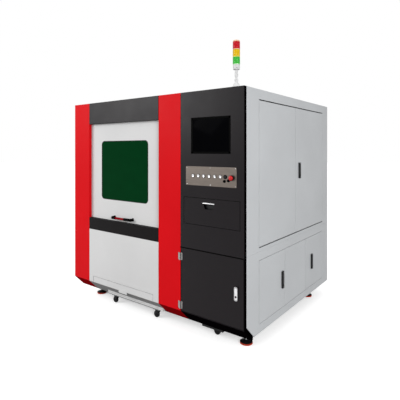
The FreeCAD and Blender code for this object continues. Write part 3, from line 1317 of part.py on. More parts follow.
def cutting_head():
    """Slide block, square head body, collimator on top and a copper nozzle below."""
    groove = ZRAIL_W / 2.0 + RUN
    wide, deep, high = SLIDE_BLOCK
    low = CARRIAGE_TOP + SLIDE_BLOCK_RAISE
    slide = block(BAY_CENTRE - wide / 2.0, BAY_CENTRE + wide / 2.0, HEAD_BACK - deep, HEAD_BACK,
                  low, low + high)
    slide = slide.cut(block(BAY_CENTRE - groove, BAY_CENTRE + groove, PLATE_FACE - ZRAIL_H - RUN, PLATE_FACE,
                            low - 1, low + high + 1))
    half = HEAD_W / 2.0
    bottom = NOZZLE_TIP + HEAD_RAISE
    body = block(BAY_CENTRE - half, BAY_CENTRE + half, HEAD_Y - half, HEAD_BACK - deep + 1.0,
                 bottom, bottom + HEAD_H)
    body = rounded(body, 3 * SHEET, upright)
    neck_r, neck_h = OPTIC_NECK
    optic = turned(BAY_CENTRE, HEAD_Y, bottom + HEAD_H - SHEET,
                   [(OPTIC_R, 0.0), (OPTIC_R, OPTIC_H), (neck_r, OPTIC_H + neck_h)], (0, 0, 1), 12)
    nozzle = turned(BAY_CENTRE, HEAD_Y, NOZZLE_TIP, NOZZLE, (0, 0, 1), 12)
    return join(slide, body, optic, nozzle)


def laser_source():
    """Rack box of the laser source with its front panel and two handles."""
    x0 = MID_BEAM + TUBE + 12.0
    x1 = x0 + SOURCE_W
    top = RING_TOP + SOURCE_H
    case = rounded(block(x0, x1, SOURCE_FRONT, SOURCE_REAR, RING_TOP, top), 3.0, upright)
    out, thick = SOURCE_PANEL
    face = SOURCE_FRONT - thick
    parts = [case, block(x0 - out, x1 + out, face, SOURCE_FRONT, RING_TOP + SHEET, top - SHEET)]
    wide, reach, high = GRIP
    low = RING_TOP + (SOURCE_H - high) / 2.0
    for x in (x0 + 30.0, x1 - 30.0 - wide):
        grip = block(x, x + wide, face - reach, face, low, low + high)
        parts.append(grip.cut(block(x - 1, x + wide + 1, face - reach + GRIP_BAR, face, low + GRIP_BAR,
                                    low + high - GRIP_BAR)))
    return join(*parts)


# ---------------------------------------------------------------- beacon
BEACON_AT = (X_RIGHT + BEACON_X, BEACON_Y)
BEACON_LENSES = BODY_HEIGHT + BEACON_BASE_H + BEACON_POLE_H + BEACON_HOUSING_H


def beacon_stem():
    """Flanged base, pole with a collar, and the round housing under the lamps."""
    x, depth = BEACON_AT
    pole_top = BEACON_BASE_H + BEACON_POLE_H
    lamps = pole_top + BEACON_HOUSING_H
    collar = BEACON_POLE_R + 4.0
    profile = [(BEACON_BASE_R, 0.0), (BEACON_BASE_R, 6.0), (BEACON_BASE_R - 3.0, 6.5),
               (BEACON_POLE_R + 3.0, BEACON_BASE_H), (BEACON_POLE_R, BEACON_BASE_H + 0.5),
               (BEACON_POLE_R, pole_top - 22.5), (collar, pole_top - 22.0), (collar, pole_top),
               (BEACON_HOUSING_R - 4.0, pole_top + 0.5), (BEACON_HOUSING_R, pole_top + 10.0),
               (BEACON_HOUSING_R, lamps)]
    return turned(x, depth, BODY_HEIGHT, profile, (0, 0, 1))


def beacon_lens(level):
    """A lamp drum; the top one also carries the cap."""
    x, depth = BEACON_AT
    profile = [(LENS_R, 0.0), (LENS_R, LENS_PITCH)]
    if level == 2:
        profile += [(LENS_R - 2.0, LENS_PITCH + 0.5), (LENS_R - 9.0, LENS_PITCH + BEACON_CAP_H)]
    return turned(x, depth, BEACON_LENSES + level * LENS_PITCH, profile, (0, 0, 1))


# ---------------------------------------------------------------- write every sub-part
os.makedirs("parts", exist_ok=True)

save("base_frame", *base_frame())
save("levelling_feet", *levelling_feet())
for name, x, depth in castor_places():
    save("castor_fork_" + name, castor_fork(x, depth))
    save("castor_wheel_" + name, castor_wheel(x, depth))
save("left_column", left_column())
save("right_column", right_column())
save("header_panel", header_panel())
save("front_sill", front_sill())
save("lower_front_panel", lower_front_panel())
save("scrap_drawer", scrap_drawer())
save("control_column", control_column(), *drawer_slides())
save("monitor", monitor())
save("control_plate", control_plate())
switches = switch_places()
for number, (x, z) in enumerate(switches[:BUTTON_COUNT], 1):
    save("push_button_%d" % number, push_button(x, z))
save("key_switch", key_switch(*switches[-2]))
save("stop_button", stop_button(*switches[-1]))
save("keyboard_drawer", keyboard_drawer())
save("cabinet_door", cabinet_door())
save("cabinet_hinges", *cabinet_hinges())
save("latch_paddle", latch_parts()[1])
save("front_door", front_door())
save("door_window", door_window())
save("door_handle", door_handle())
save("right_side_skins", *right_side_skins())
save("left_side_skins", *left_side_skins())
for name, (opening, d0, d1, pivot) in right_leaves().items():
    shape = leaf(opening, d0, d1, (pivot,))
    if name in LEAF_LOCKS:
        base, paddle, pin = side_lock(LEAF_LOCKS[name])
        shape = join(shape, base)
        save(LEAF_LOCKS[name], paddle)
    save(name, shape)
save("roof_panel", roof_panel())
save("rear_panel", rear_panel())
save("partition", *partition())
save("machine_bed", *machine_bed())
save("work_table", *work_table())
save("gantry_beam", gantry_beam())
save("x_carriage", x_carriage())
save("cutting_head", cutting_head())
save("laser_source", laser_source())
save("beacon_stem", beacon_stem())
for level, colour in enumerate(("green", "amber", "red")):
    save("beacon_lens_" + colour, beacon_lens(level))
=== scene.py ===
# %% [markdown]
# # A fiber laser cutting machine
#
# The machine is a steel cabinet on four levelling feet. A lift door with a dark green filter window
# closes the work bay, and a charcoal column on the right holds the screen, the switches and a
# keyboard drawer. The engineering model gives every solid at its real size. This lesson dresses it:
# each solid gets a finish, and the small rounded fittings are modelled again with more care.

# %% The frame
import json
import math

import bmesh
import bpy
from mathutils import Matrix, Vector


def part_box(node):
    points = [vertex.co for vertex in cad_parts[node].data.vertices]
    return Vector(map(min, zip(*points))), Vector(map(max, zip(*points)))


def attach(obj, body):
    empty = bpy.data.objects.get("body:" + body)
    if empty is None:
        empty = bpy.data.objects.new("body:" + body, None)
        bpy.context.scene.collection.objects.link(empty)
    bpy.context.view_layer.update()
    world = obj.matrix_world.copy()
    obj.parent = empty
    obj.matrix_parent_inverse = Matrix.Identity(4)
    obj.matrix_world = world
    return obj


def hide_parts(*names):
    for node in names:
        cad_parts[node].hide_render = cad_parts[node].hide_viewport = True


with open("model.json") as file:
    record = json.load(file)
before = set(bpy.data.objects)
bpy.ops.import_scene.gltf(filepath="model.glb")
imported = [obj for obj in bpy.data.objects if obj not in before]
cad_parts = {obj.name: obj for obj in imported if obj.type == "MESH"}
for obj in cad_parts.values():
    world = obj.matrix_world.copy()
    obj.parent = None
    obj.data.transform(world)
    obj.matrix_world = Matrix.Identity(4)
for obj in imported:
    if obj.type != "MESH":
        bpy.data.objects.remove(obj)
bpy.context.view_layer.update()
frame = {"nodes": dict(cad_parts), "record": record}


def new_object(name, data):
    """An object of the scene with this camera, lamp or mesh."""
    made = bpy.data.objects.new(name, data)
    bpy.context.scene.collection.objects.link(made)
    return made


# %% [markdown]
# ## The camera
#
# The photograph was taken at eye level with an ordinary lens, from the right of the machine. The
# lens looks level, so that upright edges stay upright, and the picture is shifted down to take in
# the feet.

# %% Camera
CAMERA_AT = Vector((2.147, -2.8949, 1.3465))
CAMERA_TURN = math.radians(37.263)
LENS = 34.55
SENSOR = 36
SHIFT_DOWN = 0.1241
LEVEL = math.radians(90)

camera_data = bpy.data.cameras.new("camera")
camera_data.lens = LENS
camera_data.sensor_width = SENSOR
camera_data.shift_y = -SHIFT_DOWN
camera = new_object("camera", camera_data)
camera.location = CAMERA_AT
camera.rotation_euler = (LEVEL, 0, CAMERA_TURN)
bpy.context.scene.camera = camera
bpy.context.scene.view_settings.view_transform = "Standard"
print("camera at", tuple(CAMERA_AT))

# %% [markdown]
# ## Studio light
#
# A white studio has light from all sides. An even sky gives it, a broad key lamp stands high at the
# front left, and a fill lamp stands at the front right, so that the side is brightest near its front.
# The key lamp's reflection is the sheen near the top of the charcoal sheets. What the camera, a
# mirror or a pane sees of the sky is plain white, while the light that it gives is weaker, so the
# backdrop is white and the paint keeps its own colour.

# %% Sky and lamps
SKY_LIGHT = 0.68
PURE_WHITE = (1, 1, 1, 1)
MACHINE_MIDDLE = Vector((0, 0, 1))

# name, place, width, height, watts
LAMPS = (
    ("key_lamp", (-3.55, -4.55, 2.85), 2.6, 2.4, 147),
    ("fill_lamp", (4.5, -3.2, 2.2), 1.6, 1.6, 126),
)


def combine(tree, operation, first, second):
    """One step of arithmetic on two values, such as their product or the larger one."""
    step = tree.nodes.new("ShaderNodeMath")
    step.operation = operation
    tree.links.new(first, step.inputs[0])
    tree.links.new(second, step.inputs[1])
    return step.outputs[0]


def map_range(tree, value, start, end, first, second, kind="LINEAR"):
    """The first result up to a start value, the second from an end value, and a slope between them."""
    slope = tree.nodes.new("ShaderNodeMapRange")
    slope.interpolation_type = kind
    for name, number in (("From Min", start), ("From Max", end), ("To Min", first), ("To Max", second)):
        slope.inputs[name].default_value = number
    tree.links.new(value, slope.inputs["Value"])
    return slope.outputs["Result"]


def seen_or_not(tree, scattered, seen):
    """The second value for rays from the camera, a mirror or a pane, and the first for scattered light."""
    path = tree.nodes.new("ShaderNodeLightPath").outputs
    direct = combine(tree, "MAXIMUM", path["Is Camera Ray"], path["Is Glossy Ray"])
    direct = combine(tree, "MAXIMUM", direct, path["Is Transmission Ray"])
    return map_range(tree, direct, 0, 1, scattered, seen)


def area_lamp(name, at, wide, high, watts):
    """A soft box that faces the middle of the machine."""
    data = bpy.data.lights.new(name, "AREA")
    data.shape = "RECTANGLE"
    data.size = wide
    data.size_y = high
    data.energy = watts
    lamp = new_object(name, data)
    lamp.location = at
    lamp.rotation_euler = (MACHINE_MIDDLE - Vector(at)).to_track_quat("-Z", "Y").to_euler()


world = bpy.data.worlds.new("studio")
bpy.context.scene.world = world
world.use_nodes = True
sky = world.node_tree
background = sky.nodes["Background"]
background.inputs["Color"].default_value = PURE_WHITE
sky.links.new(seen_or_not(sky, SKY_LIGHT, 1), background.inputs["Strength"])
for lamp_values in LAMPS:
    area_lamp(*lamp_values)
print("sky", SKY_LIGHT, "and", len(LAMPS), "lamps")

# %% [markdown]
# ## The floor
#
# The floor is a plain pale sheet that reaches far beyond the picture. It glows a little for the
# camera, so that it ends in the white of the backdrop, and the machine's shadow stays on it. For
# scattered light it is a greyer studio floor.

# %% Floor
FLOOR_HALF = 40
FLOOR_GLOW = 0.5
FLOOR_SHADE, FLOOR_SHADE_SEEN = 0.22, 0.92
FLOOR_ROUGHNESS = 0.9
FLOOR_GLOSS = 0.1

floor_bm = bmesh.new()
bmesh.ops.create_grid(floor_bm, x_segments=1, y_segments=1, size=FLOOR_HALF)
floor_mesh = bpy.data.meshes.new("studio_floor")
floor_bm.to_mesh(floor_mesh)
floor_bm.free()
floor = new_object("studio_floor", floor_mesh)
floor_paint = bpy.data.materials.new("studio_floor_paint")
floor_paint.use_nodes = True
floor_tree = floor_paint.node_tree
floor_inputs = floor_tree.nodes["Principled BSDF"].inputs
floor_inputs["Roughness"].default_value = FLOOR_ROUGHNESS
floor_inputs["Specular IOR Level"].default_value = FLOOR_GLOSS
floor_inputs["Emission Color"].default_value = PURE_WHITE
floor_tree.links.new(seen_or_not(floor_tree, FLOOR_SHADE, FLOOR_SHADE_SEEN), floor_inputs["Base Color"])
floor_tree.links.new(seen_or_not(floor_tree, 0, FLOOR_GLOW), floor_inputs["Emission Strength"])
floor_mesh.materials.append(floor_paint)
print("floor", 2 * FLOOR_HALF, "m wide")

# %% [markdown]
# ## How a finish is built
#
# Every finish starts from one shader. A fine noise on object coordinates moves its colour and its
# roughness a little, as hand-sprayed paint and rolled metal do, and a second noise raises the
# surface. Object coordinates are metres here, so a noise scale of 1000 is a grain of about 1 mm.
# Most of a noise lies between 0.3 and 0.7, so that is the part of it that counts.

# %% Tools for finishes
NOISE_LOW, NOISE_HIGH = 0.3, 0.7
EVEN = (1, 1, 1)


def new_finish(name):
    """A fresh material, with its shader and the coordinates of the object."""
    material = bpy.data.materials.new(name)
    material.use_nodes = True
    tree = material.node_tree
    shader = tree.nodes["Principled BSDF"]
    place = tree.nodes.new("ShaderNodeTexCoord").outputs["Object"]
    return material, tree, shader, place


def grain(tree, place, scale, detail=3, stretch=EVEN):
    """A noise of this scale; stretch squeezes it along an axis, as brushing does."""
    mapping = tree.nodes.new("ShaderNodeMapping")
    mapping.inputs["Scale"].default_value = stretch
    noise = tree.nodes.new("ShaderNodeTexNoise")
    noise.inputs["Scale"].default_value = scale
    noise.inputs["Detail"].default_value = detail
    tree.links.new(place, mapping.inputs["Vector"])
    tree.links.new(mapping.outputs["Vector"], noise.inputs["Vector"])
    return noise.outputs["Fac"]


def vary_colour(tree, shader, value, colour, amount):
    """Moves the base colour between a darker and a lighter tone of itself."""
    ramp = tree.nodes.new("ShaderNodeValToRGB")
    dark, pale = ramp.color_ramp.elements
    dark.position = NOISE_LOW
    pale.position = NOISE_HIGH
    dark.color = [c * (1 - amount) for c in colour] + [1]
    pale.color = [min(1, c * (1 + amount)) for c in colour] + [1]
    tree.links.new(value, ramp.inputs["Fac"])
    tree.links.new(ramp.outputs["Color"], shader.inputs["Base Color"])


def vary_roughness(tree, shader, value, low, high):
    """Moves the roughness between two values."""
    tree.links.new(map_range(tree, value, NOISE_LOW, NOISE_HIGH, low, high), shader.inputs["Roughness"])


def raise_surface(tree, shader, value, height, amount):
    """Bumps the surface by a height in metres."""
    bump = tree.nodes.new("ShaderNodeBump")
    bump.inputs["Strength"].default_value = amount
    bump.inputs["Distance"].default_value = height
    tree.links.new(value, bump.inputs["Height"])
    tree.links.new(bump.outputs["Normal"], shader.inputs["Normal"])


# %% [markdown]
# ## Powder coat
#
# The sheets are powder coated. Baked powder has a faint orange peel about 2 mm across and an even,
# silky sheen. The faces that look down are given painted shade: a mask made from the surface normal
# darkens the undersides of the toe and takes their sheen away. The narrow right side of the control
# column gets painted shade too, nearly black, and so does the frame under the column.

# %% Powder coats
RED = (0.66, 0.0055, 0.0095)
CHARCOAL = (0.0053, 0.0036, 0.0048)
WHITE = (0.66, 0.66, 0.66)
GREY = (0.55, 0.565, 0.58)
PEEL_SCALE = 620
PEEL = 0.00006
SOFT_STEP = "SMOOTHSTEP"
LOOKS_DOWN = (-0.6, -0.3)
LOOKS_RIGHT = (0.5, 0.8)
PAINTED_UNDERSIDE_SHADE = 0.6
PAINTED_SIDE_SHADE = 0.1


def axis_value(tree, vector, axis):
    """One coordinate of a vector."""
    parts = tree.nodes.new("ShaderNodeSeparateXYZ")
    tree.links.new(vector, parts.inputs["Vector"])
    return parts.outputs[axis]


def paint_shade(tree, shader, mask, shade):
    """Painted shade: mixes the base colour towards a darker tone where the mask is one."""
    mix = tree.nodes.new("ShaderNodeMix")
    mix.data_type = "RGBA"
    mix.blend_type = "MULTIPLY"
    mix.inputs["B"].default_value = (shade, shade, shade, 1)
    tree.links.new(mask, mix.inputs["Factor"])
    tree.links.new(shader.inputs["Base Color"].links[0].from_socket, mix.inputs["A"])
    tree.links.new(mix.outputs["Result"], shader.inputs["Base Color"])


def powder_coat(name, colour, low, high, peel=PEEL, sheen=0.12, shaded_right_side=False):
    """Sprayed and baked powder, with painted shade on its undersides and, if asked, on its right side."""
    material, tree, shader, place = new_finish(name)
    vary_colour(tree, shader, grain(tree, place, 2.2, 4), colour, 0.035)
    vary_roughness(tree, shader, grain(tree, place, 9), low, high)
    raise_surface(tree, shader, grain(tree, place, PEEL_SCALE, 1), peel, 0.5)
    normal = tree.nodes.new("ShaderNodeTexCoord").outputs["Normal"]
    upward = axis_value(tree, normal, "Z")
    # painted shade: faces that look down are darkened and lose their sheen
    paint_shade(tree, shader, map_range(tree, upward, *LOOKS_DOWN, 1, 0, SOFT_STEP), PAINTED_UNDERSIDE_SHADE)
    gloss = map_range(tree, upward, *LOOKS_DOWN, 0, sheen, SOFT_STEP)
    if shaded_right_side:
        # painted shade: faces that look to the right are made nearly black and lose their sheen
        rightward = axis_value(tree, normal, "X")
        paint_shade(tree, shader, map_range(tree, rightward, *LOOKS_RIGHT, 0, 1, SOFT_STEP), PAINTED_SIDE_SHADE)
        gloss = combine(tree, "MULTIPLY", gloss, map_range(tree, rightward, *LOOKS_RIGHT, 1, 0, SOFT_STEP))
    tree.links.new(gloss, shader.inputs["Specular IOR Level"])
    return material


# slot, name, colour, roughness from and to, height of the peel, sheen, painted shade on the right side
COATS = (
    ("red_paint", "red_powder_coat", RED, 0.36, 0.46, PEEL, 0.035),
    ("charcoal_paint", "charcoal_powder_coat", CHARCOAL, 0.33, 0.39, 0.00008, 0.13, True),
    ("white_paint", "white_powder_coat", WHITE, 0.38, 0.5),
    ("grey_paint", "grey_powder_coat", GREY, 0.40, 0.52),
    ("frame_paint", "grey_frame_enamel", (0.40, 0.41, 0.42), 0.45, 0.6, 0.0001),
    ("black_enamel", "black_enamel", (0.004, 0.004, 0.005), 0.35, 0.48),
    # painted shade: a darker, duller copy of the charcoal for the sill, which gets less light low in the bay
    ("sill_paint", "sill_charcoal", (0.0040, 0.0032, 0.0036), 0.45, 0.55, PEEL, 0.06),
)
finishes = {slot: powder_coat(*values) for slot, *values in COATS}

# painted shade: the part of the frame under the control column, which lies in the column's shade, is made
# nearly black
FRAME_SHADE_RIGHT_OF = (0.30, 0.31)
FRAME_SHADE_BELOW = (0.100, 0.101)
FRAME_PAINTED_SHADE = 0.04
frame_tree = finishes["frame_paint"].node_tree
frame_place = frame_tree.nodes.new("ShaderNodeTexCoord").outputs["Object"]
right_part = map_range(frame_tree, axis_value(frame_tree, frame_place, "X"), *FRAME_SHADE_RIGHT_OF, 0, 1,
                       SOFT_STEP)
below_skirt = map_range(frame_tree, axis_value(frame_tree, frame_place, "Z"), *FRAME_SHADE_BELOW, 1, 0,
                        SOFT_STEP)
paint_shade(frame_tree, frame_tree.nodes["Principled BSDF"],
       combine(frame_tree, "MULTIPLY", right_part, below_skirt), FRAME_PAINTED_SHADE)
print("powder coats:", len(finishes))

# %% [markdown]
# ## Metals
#
# Stainless plate is brushed sideways: its grain is long in X and very short across. Zinc plating has
# large dull crystals, cut plate is uneven and slightly brown, and chrome is nearly a mirror.

# %% Metals
def metal(name, colour, low, high, scale, height, amount, stretch=EVEN):
    """Bare or plated metal: one grain moves its colour, its roughness and its surface."""
    material, tree, shader, place = new_finish(name)
    shader.inputs["Metallic"].default_value = 1
    lines = grain(tree, place, scale, 4, stretch)
    vary_colour(tree, shader, lines, colour, amount)
    vary_roughness(tree, shader, lines, low, high)
    raise_surface(tree, shader, lines, height, 0.4)
    return material


# slot, name, colour, roughness from and to, scale and height of the grain, share of colour, stretch
METALS = (
    ("brushed_stainless", "brushed_stainless", (0.126, 0.108, 0.095), 0.30, 0.44, 60, 0.00003, 0.14,
     (0.25, 6, 12)),
    ("chrome", "chrome_plate", (0.55, 0.55, 0.56), 0.08, 0.18, 45, 0.000005, 0.05),
    ("copper", "copper", (0.62, 0.28, 0.16), 0.22, 0.36, 80, 0.00001, 0.1),
    ("dark_steel", "dark_steel", (0.10, 0.095, 0.09), 0.3, 0.42, 90, 0.00001, 0.08),
    ("satin_steel", "satin_steel", (0.24, 0.235, 0.23), 0.25, 0.38, 90, 0.00001, 0.08),
    ("galvanised", "zinc_plate", (0.46, 0.47, 0.48), 0.38, 0.52, 70, 0.00002, 0.12),
    ("bare_steel", "cut_steel", (0.30, 0.28, 0.26), 0.42, 0.62, 35, 0.00006, 0.25),
    ("ground_aluminium", "milled_aluminium", (0.66, 0.66, 0.67), 0.30, 0.42, 120, 0.00002, 0.05,
     (0.3, 1, 3)),
)
finishes.update({slot: metal(*values) for slot, *values in METALS})
print("metals:", len(METALS))

# %% [markdown]
# ## Plastics, rubber and glass
#
# Moulded plastic has a spark-eroded grain much finer than powder coat. The window is a green laser
# filter: almost no light comes back out of it, so it is a very dark green with a smooth face.

# %% Plastics, rubber, glass and lenses
def moulded(name, colour, low, high, gloss, height=0.00003, fine=1500):
    """A moulded or cast surface with a fine grain."""
    material, tree, shader, place = new_finish(name)
    vary_colour(tree, shader, grain(tree, place, 12), colour, 0.06)
    vary_roughness(tree, shader, grain(tree, place, 30), low, high)
    raise_surface(tree, shader, grain(tree, place, fine, 1), height, 0.5)
    shader.inputs["Specular IOR Level"].default_value = gloss
    return material


def lens(name, colour):
    """Translucent ribbed plastic: light is scattered inside it and leaves with its colour."""
    material = moulded(name, colour, 0.12, 0.2, 0.15, 0.00001, 300)
    inputs = material.node_tree.nodes["Principled BSDF"].inputs
    inputs["Subsurface Weight"].default_value = 0.35
    inputs["Subsurface Radius"].default_value = (0.02, 0.02, 0.02)
    inputs["Coat Weight"].default_value = 0.1
    return material


# slot, name, colour, roughness from and to, gloss, height and scale of the grain
PLASTICS = (
    ("black_plastic", "black_moulding", (0.008, 0.008, 0.009), 0.38, 0.5, 0.16),
    ("deep_black", "dull_black", (0.002, 0.002, 0.002), 0.55, 0.7, 0.012),
    ("red_plastic", "red_moulding", (0.52, 0.010, 0.012), 0.22, 0.3, 0.25),
    ("white_plastic", "white_moulding", (0.66, 0.66, 0.66), 0.4, 0.5, 0.15),
    ("green_plastic", "green_moulding", (0.02, 0.20, 0.06), 0.4, 0.5, 0.2),
    ("grip_red", "dark_red_grip", (0.24, 0.003, 0.006), 0.5, 0.62, 0.05),
    ("orange_rubber", "orange_rubber", (0.50, 0.050, 0.018), 0.6, 0.75, 0.1, 0.0001, 700),
    ("wheel_rubber", "wheel_rubber", (0.005, 0.005, 0.0055), 0.55, 0.7, 0.15, 0.0001, 900),
    ("screen_plastic", "screen_glass", (0.0015, 0.0015, 0.002), 0.10, 0.16, 0.002, 0.000002, 900),
    ("door_glass", "laser_filter", (0.0004, 0.034, 0.0080), 0.03, 0.06, 0.012, 0.000001, 4),
)
# slot, name, colour
LENSES = (
    ("lens_green", "green_lens", (0.07, 0.52, 0.07)),
    ("lens_amber", "amber_lens", (0.76, 0.50, 0.010)),
    ("lens_red", "red_lens", (0.56, 0.006, 0.016)),
    ("rim_green", "green_rim", (0.43, 0.84, 0.38)),
    ("rim_amber", "amber_rim", (0.74, 0.74, 0.18)),
    ("rim_red", "red_rim", (0.86, 0.52, 0.34)),
)
finishes.update({slot: moulded(*values) for slot, *values in PLASTICS})
finishes.update({slot: lens(*values) for slot, *values in LENSES})

# %% Every solid gets the finish of its slot
slot_of = {row["node"]: row["material_slot"] for row in frame["record"]["subparts"]}
for name, solid in frame["nodes"].items():
    solid.data.materials.clear()
    # the front sill takes the darker copy of the charcoal, painted shade
    solid.data.materials.append(finishes["sill_paint" if name == "front_sill" else slot_of[name]])
print("finishes:", len(finishes))

# %% [markdown]
# ## Tools for pieces
#
# Most fittings are one of three shapes: a profile spun round an axis, a cube with bevelled edges, or
# a plate that is cut to an outline and extruded.

# %% Tools for pieces
MM = 0.001
UP = (0, 0, 1)
OUT = (0, -1, 0)
BACK = (0, 1, 0)

# the finishes that stand in for a slot of another name
SLOT_OF_FINISH = {
    "deep_black": "black_plastic", "dark_steel": "chrome", "satin_steel": "chrome", "copper": "bare_steel",
    "grip_red": "red_plastic", "white_plastic": "white_paint", "green_plastic": "lens_green",
    "rim_green": "lens_green", "rim_amber": "lens_amber", "rim_red": "lens_red",
}


def mm(x, y, z):
    """A vector given in millimetres."""
    return Vector((x, y, z)) * MM


def add_piece(name, bm, finish, body="cabinet", replaces=(), slot=None, soft=35):
    """Closes and smooths a shape, gives it a finish and fixes it to a body of the machine."""
    slot = slot or SLOT_OF_FINISH.get(finish, finish)
    bmesh.ops.remove_doubles(bm, verts=bm.verts, dist=0.000005)
    bmesh.ops.recalc_face_normals(bm, faces=bm.faces)
    mesh = bpy.data.meshes.new(name)
    bm.to_mesh(mesh)
    bm.free()
    mesh.materials.append(finishes[finish])
    mesh.shade_smooth()
    mesh.set_sharp_from_angle(angle=math.radians(soft))
    piece = new_object(name, mesh)
    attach(piece, body)
    if replaces:
        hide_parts(*replaces)
    print(name, len(mesh.polygons), "faces")


def spin_profile(bm, at, along, profile, steps=48):
    """Spins a profile of (radius, distance) pairs in millimetres round the axis through a point."""
    axis = Vector(along)
    side = axis.orthogonal().normalized()
    verts = [bm.verts.new(at + (axis * far + side * radius) * MM) for radius, far in profile]
    edges = [bm.edges.new(pair) for pair in zip(verts, verts[1:])]
    bmesh.ops.spin(bm, geom=verts + edges, cent=at, axis=axis, dvec=(0, 0, 0),
                   angle=math.tau, steps=steps, use_merge=True, use_duplicate=False)


def ridges(count, pitch, *points):
    """A few points of a profile, repeated at a pitch."""
    return [(radius, far + i * pitch) for i in range(count) for radius, far in points]


def turned_piece(name, at, along, profile, finish, body="cabinet", replaces=(), steps=48):
    """A piece that is one turned part."""
    bm = bmesh.new()
    spin_profile(bm, at, along, profile, steps)
    add_piece(name, bm, finish, body, replaces)


def bevel(bm, edges, width, segments=3):
    """A round bevel of a width in millimetres."""
    return bmesh.ops.bevel(bm, geom=edges, offset=width * MM, offset_type="OFFSET", segments=segments,
                           profile=0.5, affect="EDGES", clamp_overlap=True, material=-1)


def rounded_bar(bm, low, high, axis, corner, rim=0, segments=5):
    """A block between two corners: its edges along an axis get a large bevel and the rest a small one."""
    cube = bmesh.ops.create_cube(bm, size=1)["verts"]
    bmesh.ops.scale(bm, vec=high - low, verts=cube)
    bmesh.ops.translate(bm, vec=(low + high) / 2, verts=cube)
    edges = list({edge for vert in cube for edge in vert.link_edges})
    along = [e for e in edges if abs((e.verts[0].co - e.verts[1].co).normalized()[axis]) > 0.9]
    made = bevel(bm, along, corner, segments)
    if rim:
        faces = {f for v in made["verts"] for f in v.link_faces}
        ends = [f for f in faces if abs(f.normal[axis]) > 0.9]
        bevel(bm, list({e for f in ends for e in f.edges}), rim, 2)


def only(kind, made):
    """The vertices or the edges among what an operator made."""
    return [item for item in made if isinstance(item, kind)]


def push_out(bm, faces, by):
    """Extrudes faces along a vector and keeps the old ones as the other end."""
    made = bmesh.ops.extrude_face_region(bm, geom=faces, use_keep_orig=True)["geom"]
    bmesh.ops.translate(bm, vec=by, verts=only(bmesh.types.BMVert, made))


def cut_plate(bm, outline, thickness):
    """A plate from an outline of points, pushed out by a vector."""
    push_out(bm, [bm.faces.new([bm.verts.new(point) for point in outline])], thickness)


def sideways_bar(bm, start, end, foot, section):
    """A bar along X: its section is (depth, height) pairs in mm from the front plane and from a foot."""
    outline = [Vector((start, FRONT_Y, foot)) + mm(0, depth, height) for depth, height in section]
    cut_plate(bm, outline, Vector((end - start, 0, 0)))


def open_middle(bm, width):
    """Turns a slab into a frame: its two largest faces are inset and the two holes joined."""
    large = sorted(bm.faces, key=lambda f: f.calc_area())[-2:]
    bmesh.ops.inset_individual(bm, faces=large, thickness=width * MM, depth=0, use_even_offset=True)
    edges = [e for f in large for e in f.edges]
    bmesh.ops.delete(bm, geom=large, context="FACES_ONLY")
    bmesh.ops.bridge_loops(bm, edges=edges)


def bar_piece(name, low, high, shape, finish, body="cabinet", rim_wide=None):
    """One bar of a shape (axis, corner, rim, segments) as a piece, opened to a frame where a width is given."""
    bm = bmesh.new()
    rounded_bar(bm, low, high, *shape)
    if rim_wide:
        open_middle(bm, rim_wide)
    add_piece(name, bm, finish, body)


def sweep(bm, ring, moves):
    """Pulls a ring of edges along straight runs and round bends, as a bar is bent."""
    edges = ring
    for kind, *values in moves:
        if kind == "run":
            made = bmesh.ops.extrude_edge_only(bm, edges=edges)["geom"]
            verts = only(bmesh.types.BMVert, made)
            bmesh.ops.translate(bm, vec=values[0], verts=verts)
            edges = [e for e in only(bmesh.types.BMEdge, made) if e.verts[0] in verts and e.verts[1] in verts]
        else:
            centre, axis, angle, steps = values
            made = bmesh.ops.spin(bm, geom=edges, cent=centre, axis=axis, dvec=(0, 0, 0), angle=angle,
                                  steps=steps, use_merge=False, use_duplicate=False)["geom_last"]
            edges = only(bmesh.types.BMEdge, made)
    return edges


def screw(bm, at, along, radius, height):
    """A pan head screw with a socket, of few faces because there are many of them."""
    spin_profile(bm, at, along, [(radius, 0), (radius, height * 0.45), (radius * 0.7, height),
                                 (radius * 0.42, height), (radius * 0.38, height * 0.3),
                                 (0, height * 0.3)], 12)


# %% [markdown]
# Most places are measured from the body's corner at the lower right of its front, which stands 110 mm
# over the floor, or from the middle of a node's box.

# %% Where things are
FRONT_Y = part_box("left_column")[0].y
RIGHT_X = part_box("control_column")[1].x
BASE_Z = 0.110
CORNER = Vector((RIGHT_X, FRONT_Y, BASE_Z))


def on_plane(node, y):
    """The low and the high corner of a node's box, both moved to a plane that faces the front."""
    low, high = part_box(node)
    return Vector((low.x, y, low.z)), Vector((high.x, y, high.z))


def front_centre(node):
    """The middle of a node's box, moved to the front plane."""
    low, high = on_plane(node, FRONT_Y)
    return (low + high) / 2


print("front plane", round(FRONT_Y, 4), "right plane", round(RIGHT_X, 4))

# %% [markdown]
# ## The door handle
#
# The handle is a bow: two black moulded elbows stand on the door, and a thinner red sleeve with fine
# grooves joins them where the hand holds it. A ring of points is pulled out of the door, turned round
# the corner and drawn across up to the sleeve, once from each end. Two flanges seat it on the door.

